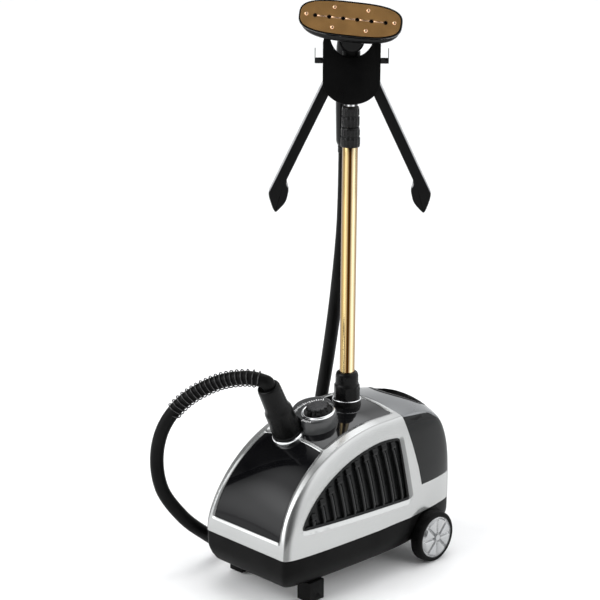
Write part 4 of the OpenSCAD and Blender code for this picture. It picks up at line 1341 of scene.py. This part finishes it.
tube_part("tube_outer", 12.5, 11.6, 218, 731, "housing", "pole_outer")
tube_part("tube_middle", 11.45, 10.5, 330, 764, "pole_middle", "pole_mid")
tube_part("tube_inner", 10.35, 9.1, 340, 856, "pole_upper", "pole_inner")


def collar(name, r, z0, h, bore, body, node):
    """A ribbed twist collar with a groove at its waist."""
    prof = [(bore, z0 + 0.1), (r - 0.6, z0 + 0.1), (r, z0 + 0.7)]
    prof += levels_between((r, z0 + 0.7), (r, z0 + h * 0.46), 4)
    prof += [(r - 0.5, z0 + h * 0.49), (r - 1.3, z0 + h * 0.51), (r - 1.3, z0 + h * 0.55),
             (r - 0.4, z0 + h * 0.57)]
    prof += levels_between((r - 0.4, z0 + h * 0.57), (r - 0.5, z0 + h - 2.4), 4)
    prof += [(r - 1.2, z0 + h - 0.9), (r - 2.4, z0 + h - 0.1), (bore, z0 + h - 0.1)]
    ribs = ribbed(16, 0.8, z0 + 1.5, z0 + h - 3.5)
    make(name, lathe(prof, 192, POLE, ribs), body, "collar", "collar_plastic", (node,), angle=50)


collar("collar_low", 15.2, 704, 32, 12.6, "collar_lower", "clamp_lower")
collar("collar_high", 14.0, 736.1, 33.1, 11.6, "collar_upper", "clamp_upper")
shape = lathe([(10.4, 769.4), (10.7, 769.4), (11.0, 770.2), (11.1, 772.4), (11.1, 788),
              (10.9, 789.5), (10.4, 790)], 96, POLE)
make("end_ring_v", shape, "pole_upper", "end_ring", "chrome_trim", ("pole_end_ring",), angle=60)

# ---- holder and arms ----

HOLDER_TURN = 45
HOLD = POLE @ Matrix.Rotation(math.radians(HOLDER_TURN), 4, "Z")
# In the face frame, local x is the holder's right, local y its height, local z its front.
FACE = HOLD @ Matrix.Rotation(math.radians(90), 4, "X")


notch = []
for k in range(33):
    a = math.pi + math.pi * k / 32
    px, pz = 33.7 * math.cos(a), 882.2 + 33.7 * math.sin(a)
    if pz < 879.8:
        notch.append((px, pz))
shield = [(-43, 880), (-45, 872), (-45, 810)] + [
    (45 * math.cos(math.radians(180 + 7.5 * i)), 810 + 36 * math.sin(math.radians(180 + 7.5 * i)))
    for i in range(1, 24)] + [(45, 810), (45, 872), (43, 880)] + list(reversed(notch))
shield = [tuple(p)[:2] for p in rounded([(x, z, 0) for x, z in shield], 1.0, 2)]
plate = level_solid(shield, round_levels(16, 20.2, 1.3), FACE, 0.4)
foot_pad = level_solid([(-14, 800), (14, 800), (14, 850), (-14, 850)],
                           round_levels(14, 16.2, 0.3), FACE, 0.4)
make("holder_shield", join_parts([plate, foot_pad]), "pole_upper", "holder_black",
     "holder_plastic", ("holder_plate",), angle=40)


# The arm hangs from its pin at the origin down to the tip of its foot.
ARM_L, ARM_R, ARM_SPLAY = 229.0, 9.2, 25.6
ARM_PIN = (34, 812)


def arm_outline(sign):
    """The bar with its leaf-shaped foot on the inner side; +X is outward on the right arm."""
    pts = [(ARM_R * math.cos(math.radians(9 * i)), ARM_R * math.sin(math.radians(9 * i)))
           for i in range(21)]
    pts += [(-ARM_R, -12), (-ARM_R, -60), (-ARM_R, -110), (-ARM_R, -150), (-ARM_R, 57 - ARM_L)]
    foot = [(-9.2, 55.7), (-12, 52), (-16.9, 47), (-20, 41), (-21.9, 33), (-23.2, 27),
            (-22.8, 19), (-20, 10), (-16.5, 0), (-10, 4), (-3, 11), (3.5, 18), (7.5, 24),
            (9.2, 31)]
    foot = rounded([(x, h - ARM_L, 0) for x, h in foot], 4.0, 3, closed=False)
    pts += [tuple(q)[:2] for q in foot[1:]]
    pts += [(ARM_R, -150), (ARM_R, -110), (ARM_R, -60), (ARM_R, -12)]
    return [(sign * x, h) for x, h in pts]


for s, tag in ((-1, "left"), (1, "right")):
    m = (FACE @ Matrix.Translation((s * ARM_PIN[0], ARM_PIN[1], 0))
         @ Matrix.Rotation(math.radians(s * ARM_SPLAY), 4, "Z"))
    bar = level_solid(arm_outline(s), round_levels(3.6, 15.4, 3.4, 5), m, 0.4)
    pin_cap = lathe([(0, 3.0), (6.2, 3.0), (6.6, 15.6), (6.2, 16.3), (5.2, 16.6), (0, 16.6)],
                         48, m, closed=False)
    make("arm_" + tag + "_v", join_parts([bar, pin_cap]), "hanger_arm_" + tag, "arm",
         "holder_plastic", ("arm_" + tag,), angle=45)

# ---- steam head ----

HEAD = (HOLD @ Matrix.Translation((-3, -40, 909)) @ Matrix.Rotation(math.radians(-7), 4, "Z")
        @ Matrix.Rotation(math.radians(-18), 4, "X") @ Matrix.Rotation(math.radians(5.0), 4, "Y"))


OVAL_POWER = 0.66


def track(length, height, y, drop=0.0, count=47):
    """A long plate outline with slightly bowed sides (a superellipse)."""
    pts = []
    for k in range(2 * count + 2):
        a = math.pi * k / (count + 1) - math.pi / 2
        c, w = math.cos(a), math.sin(a)
        pts.append((math.copysign(abs(c) ** OVAL_POWER, c) * length / 2, y,
                    math.copysign(abs(w) ** OVAL_POWER, w) * height / 2 + drop))
    return pts


sections = [(157.6, 52.6, 0.2, 0), (157.8, 53.4, 1.2, -0.3), (157.0, 54.4, 2.6, -1.2),
            (154.5, 55.5, 5.0, -2.8), (149.5, 55.0, 7.6, -4.6), (141, 53.5, 9.9, -5.8),
            (128, 50.5, 12.4, -6.8), (112, 47.0, 15.0, -7.8), (95, 43.0, 17.3, -8.2),
            (78, 39.0, 19.1, -8.0), (66, 34.0, 19.9, -7.5)]
make("head_body", loft([track(*section) for section in sections], flip=True, matrix=HEAD),
     "steam_head", "gloss_black", "head_plastic", ("head_shell",), angle=50)
rim_rings = [(159.0, 54.0, 0.1), (160, 55, -0.8), (160.2, 55.2, -3), (160, 55, -6),
             (159.2, 54.2, -7.4), (158.0, 53.0, -8.1), (156.6, 51.6, -8.2), (155.2, 50.2, -7.7),
             (154.4, 49.4, -6.6), (154.3, 49.3, -2)]
make("head_rim_v", loft([track(*ring) for ring in rim_rings], "loop", matrix=HEAD), "steam_head",
     "gloss_black", "head_plastic", ("head_rim",), angle=60)
refined("head_plate", 0.3, 30, 2, "bronze", weighted=True)
domes = []
for x, z in [(-68, 1), (-26, 15.6), (26, 15.6), (68, 1), (-26, -15.6), (26, -15.6)]:
    base = HEAD @ Matrix.Translation((x, -9.0, z)) @ Matrix.Rotation(math.radians(90), 4, "X")
    domes.append(lathe([(0, -0.4), (3.1, -0.4), (3.1, 0.1), (2.7, 0.7), (1.9, 1.15), (0.9, 1.35),
                        (0, 1.4)], 32, base, closed=False))
make("head_rivet_domes", join_parts(domes), "steam_head", "copper", "plate_bronze",
     ("head_rivets",), angle=60)
PORTS, PORT_PITCH = 6, 21.8
inner = []
for i in range(PORTS):
    base = (HEAD @ Matrix.Translation(((i - 2.5) * PORT_PITCH, -5.2, 0))
            @ Matrix.Rotation(math.radians(90), 4, "X"))
    inner.append(lathe([(0, 0), (3.4, 0), (3.4, 0.9), (0, 0.9)], 24, base, closed=False))
make("steam_ports", join_parts(inner), "steam_head", "black", "head_plastic")
# Black rings round the ports, a little proud of the plate: painted shade that widens the dark of
# each port, as a shaded countersink would.
shade_rings, bridges = [], []
for i in range(PORTS):
    base = (HEAD @ Matrix.Translation(((i - 2.5) * PORT_PITCH, -9.0, 0))
            @ Matrix.Rotation(math.radians(90), 4, "X"))
    shade_rings.append(lathe([(2.0, -2.4), (2.3, -0.4), (3.0, 0.16), (3.3, 0.1), (3.3, -0.6)], 32, base))
    if i < PORTS - 1:
        bar = [(3.4, -1.15), (18.4, -1.15), (18.4, 1.15), (3.4, 1.15)]
        bridges.append(level_solid(bar, round_levels(-0.9, -0.1, 0.15, 1), base))
make("port_shade_rings", join_parts(shade_rings), "steam_head", "black", "head_plastic", angle=50)
# The bars fill the groove between the ports; their bright copper is a painted highlight along the
# groove's lower edge.
make("groove_floor_painted_highlight", join_parts(bridges), "steam_head", "copper", "plate_bronze", angle=50)

GRIP = HOLD @ Matrix.Translation((-6.5, 33, 700))
grip_profile = [(0, 0), (11.6, 0), (12.8, 0.6), (13.4, 2.0), (14.6, 5), (15.2, 8), (15.6, 20),
                (16.0, 40), (16.4, 60), (16.8, 90), (17.0, 118), (16.8, 140), (16.2, 158),
                (15.0, 170), (13.2, 179), (10.0, 184.4), (5.5, 186.6), (0, 187)]
grip = lathe(grip_profile, 96, GRIP, closed=False)
NECK = HOLD @ Matrix.Translation((0, 0, 874)) @ Matrix.Rotation(math.radians(90), 4, "X")
neck = lathe([(0, -40), (14.4, -40), (16.0, -38.6), (16.2, -36), (16.2, -10), (16.2, 12),
                (16.2, 21.5), (0, 21.5)], 64, NECK, closed=False)
make("head_grip", join_parts([grip, neck]), "steam_head", "gloss_black", "head_plastic",
     ("head_handle",), angle=45)
yoke = [(-17, 874.6), (17, 874.6), (22, 879.2), (35, 881.4), (50, 889), (-50, 889), (-35, 881.4),
        (-22, 879.2)]
make("neck_yoke", level_solid(yoke, round_levels(-6, 26, 1.0, 2), FACE), "steam_head",
     "gloss_black", "head_plastic", angle=45)
FERR = HOLD @ Matrix.Translation((-6.5, 33, 688))
shape = lathe([(9.6, 0), (11.6, 0), (12.3, 0.7), (12.4, 2.2), (11.9, 3.2), (12.4, 4.2), (12.4, 6.2),
              (11.9, 7.2), (12.4, 8.2), (12.4, 11), (11.8, 12), (9.6, 12)], 64, FERR)
make("ferrule_v", shape, "steam_head", "black", "head_plastic", ("hose_ferrule",), angle=50)

# ---- wheels ----


def hub_height(r, t):
    """Eight raised petals between radial grooves, round a small raised middle."""
    if r < 5.2:
        return 25.2 - 0.02 * r * r
    petal = abs(((t / (math.pi / 4)) % 1.0) - 0.5) * 2
    wide = math.sin(min(1.0, (r - 5) / 27) * math.pi * 0.62 + 0.35)
    edge = 1 - petal
    across = edge * (math.pi / 8) * r
    groove = min(1.0, across / 3.2)
    groove = groove * groove * (3 - 2 * groove)
    outer_fade = min(1.0, max(0.0, (32.6 - r) / 2.2))
    start = min(1.0, max(0.0, (r - 6.0) / 3.0))
    fold = 0.9 * (1 - abs(petal)) * wide
    return 20.6 + (3.0 * groove + 1.5 * fold) * outer_fade * start


# (radius, height) of the hub's rim, back and bore, which are round
HUB_BACK = [(34.8, 22.3), (35.4, 21.6), (35.4, 1.4), (34.8, 1.0), (30, 1), (30, 8), (12, 8),
            (12, 2), (5.2, 2)]
for s, tag in ((1, "right"), (-1, "left")):
    place = (Matrix.Translation((s * 102, WHEEL_Y, AXLE_Z))
             @ Matrix.Rotation(math.radians(90 * s), 4, "Y"))
    rows = [0.01, 2.5, 4.6, 5.0, 5.4, 6.2, 7.4, 9] + list(np.linspace(10.5, 30, 14)) + \
        [31, 32, 33, 34]
    turns = [2 * math.pi * k / 256 for k in range(256)]
    rings = [[(r * math.cos(t), r * math.sin(t), hub_height(r, t)) for t in turns] for r in rows]
    rings += [[(r * math.cos(t), r * math.sin(t), z) for t in turns] for r, z in HUB_BACK]
    make("hub_" + tag + "_v", loft(rings, None, True, place), "wheel_" + tag, "hub", "hub_silver",
         ("hub_" + tag,), angle=40)

    def tread(t, r, z):
        if r > 43.2 and 5 < z < 17.5:
            return r - 0.35 * (0.5 + 0.5 * math.cos(72 * t)) ** 4
        return r
    prof = [(35.3, 0.4), (38.6, 0.1), (40.6, 0.4), (42.0, 1.3), (43.0, 2.9), (43.5, 5.0),
            (43.5, 8), (43.5, 11), (43.5, 14), (43.5, 17.4), (43.0, 19.5), (42.0, 21.1),
            (40.6, 22.0), (38.6, 22.4), (36.6, 22.2), (35.6, 21.8), (35.3, 21.4)]
    make("tyre_" + tag + "_v", lathe(prof, 288, place, tread), "wheel_" + tag, "tyre",
         "tyre_rubber", ("tyre_" + tag,), angle=50)

# ---- remaining nodes keep their CAD form with softened edges ----

for node, width, mat, slot_name in (
        ("base_plate", 0.5, "tub", "tub_plastic"), ("base_screws", 0.25, "steel", "steel"),
        ("tank_bay", 0.5, "tub", "tub_plastic"), ("tank_cap", 0.5, "black", "handle_plastic"),
        ("rotary_switch", 0.4, "black", "switch_plastic"), ("steam_pipe", 0.3, "steel", "steel"),
        ("holder_bracket", 0.7, "holder_black", "holder_plastic"),
        ("hook_bars", 0.9, "gloss_black", "holder_plastic"),
        ("hook_pins", 0.35, "gloss_black", "holder_plastic"),
        ("arm_pins", 0.4, "steel", "steel"), ("wheel_axle", 0.5, "steel", "steel"),
        ("caster_fork_right", 1.6, "tub", "tub_plastic"),
        ("caster_fork_left", 1.6, "tub", "tub_plastic"),
        ("caster_wheel_right", 1.2, "tyre", "tyre_rubber"),
        ("caster_wheel_left", 1.2, "tyre", "tyre_rubber"),
        ("boiler", 0.8, "cast", "boiler_cast"), ("thermostat", 0.4, "steel", "steel"),
        ("water_pipe", 0.3, "silicone", "pipe_silicone"),
        ("cord_gland", 0.6, "rubber", "hose_rubber")):
    refined(node, width, 32, 3, mat)

# ---- floor and light ----

floor_mesh = bpy.data.meshes.new("floor")
floor_mesh.from_pydata([(-40, -40, 0), (40, -40, 0), (40, 40, 0), (-40, 40, 0)], [], [(0, 1, 2, 3)])
floor = bpy.data.objects.new("floor", floor_mesh)
bpy.context.scene.collection.objects.link(floor)
floor_mat = plastic("studio_floor", 0.90, 0.92, (0.7, 0.8), 30.0, 0.01)
floor.data.materials.append(floor_mat)

# The studio is bright low down and dim overhead, with soft lobes where its soft boxes hang. The
# area lights only shed light, so that no hard-edged panel shows in the gloss.
world = bpy.data.worlds.new("studio")
bpy.context.scene.world = world
world.use_nodes = True
wt = world.node_tree
sky = wt.nodes["Background"]
heading = wt.nodes.new("ShaderNodeTexCoord").outputs["Generated"]


def toward(azimuth, elevation):
    """A direction; azimuth 0 is the object's front."""
    a, e = math.radians(azimuth), math.radians(elevation)
    return Vector((math.sin(a) * math.cos(e), -math.cos(a) * math.cos(e), math.sin(e)))


def lobe(azimuth, elevation, inner, outer, strength):
    """A round patch of light that fades out between two angles from its middle."""
    dot = wt.nodes.new("ShaderNodeVectorMath")
    dot.operation = "DOT_PRODUCT"
    dot.inputs[1].default_value = toward(azimuth, elevation)
    link(wt, heading, dot.inputs[0])
    out = ramp(wt, dot.outputs["Value"], 0.0, strength, math.cos(math.radians(outer)),
               math.cos(math.radians(inner)))
    out.node.interpolation_type = "SMOOTHSTEP"
    return out


split = wt.nodes.new("ShaderNodeSeparateXYZ")
link(wt, heading, split.inputs[0])
level = ramp(wt, split.outputs["Z"], 1.0, 0.10, math.sin(math.radians(24)),
             math.sin(math.radians(58)))
level.node.interpolation_type = "SMOOTHSTEP"
dim = lobe(45, 6, 14, 44, 0.94)
total = math_node(wt, "MULTIPLY", level, math_node(wt, "SUBTRACT", 1.0, dim))
total = math_node(wt, "SUBTRACT", total, lobe(-92, 36, 12, 50, 0.8))
total = math_node(wt, "MAXIMUM", total, 0.02)
for one in (lobe(-29, 20, 6, 30, 2.4), lobe(-31, 44, 6, 30, 2.2), lobe(-142, 62, 8, 30, 2.4),
            lobe(124, 44, 18, 50, 0.9)):
    total = math_node(wt, "ADD", total, one)
sky.inputs["Color"].default_value = (0.98, 0.99, 1.0, 1)
link(wt, total, sky.inputs["Strength"])
bpy.context.scene.view_settings.view_transform = "Standard"


def area(name, where, aim, size, size_y, power):
    light = bpy.data.lights.new(name, "AREA")
    light.shape = "RECTANGLE"
    light.size = size
    light.size_y = size_y
    light.energy = power
    obj = bpy.data.objects.new(name, light)
    bpy.context.scene.collection.objects.link(obj)
    obj.location = where
    d = Vector(aim) - Vector(where)
    obj.rotation_mode = "QUATERNION"
    obj.rotation_quaternion = d.to_track_quat("-Z", "Y")
    obj.visible_glossy = False


area("key_left", (-1.6, -2.6, 1.6), (0, 0, 0.35), 1.6, 2.4, 20)
area("key_right", (2.9, 0.9, 1.3), (0, 0, 0.3), 1.4, 2.2, 20)
area("top", (0.2, 0.2, 3.2), (0, 0, 0.3), 2.2, 2.2, 26)
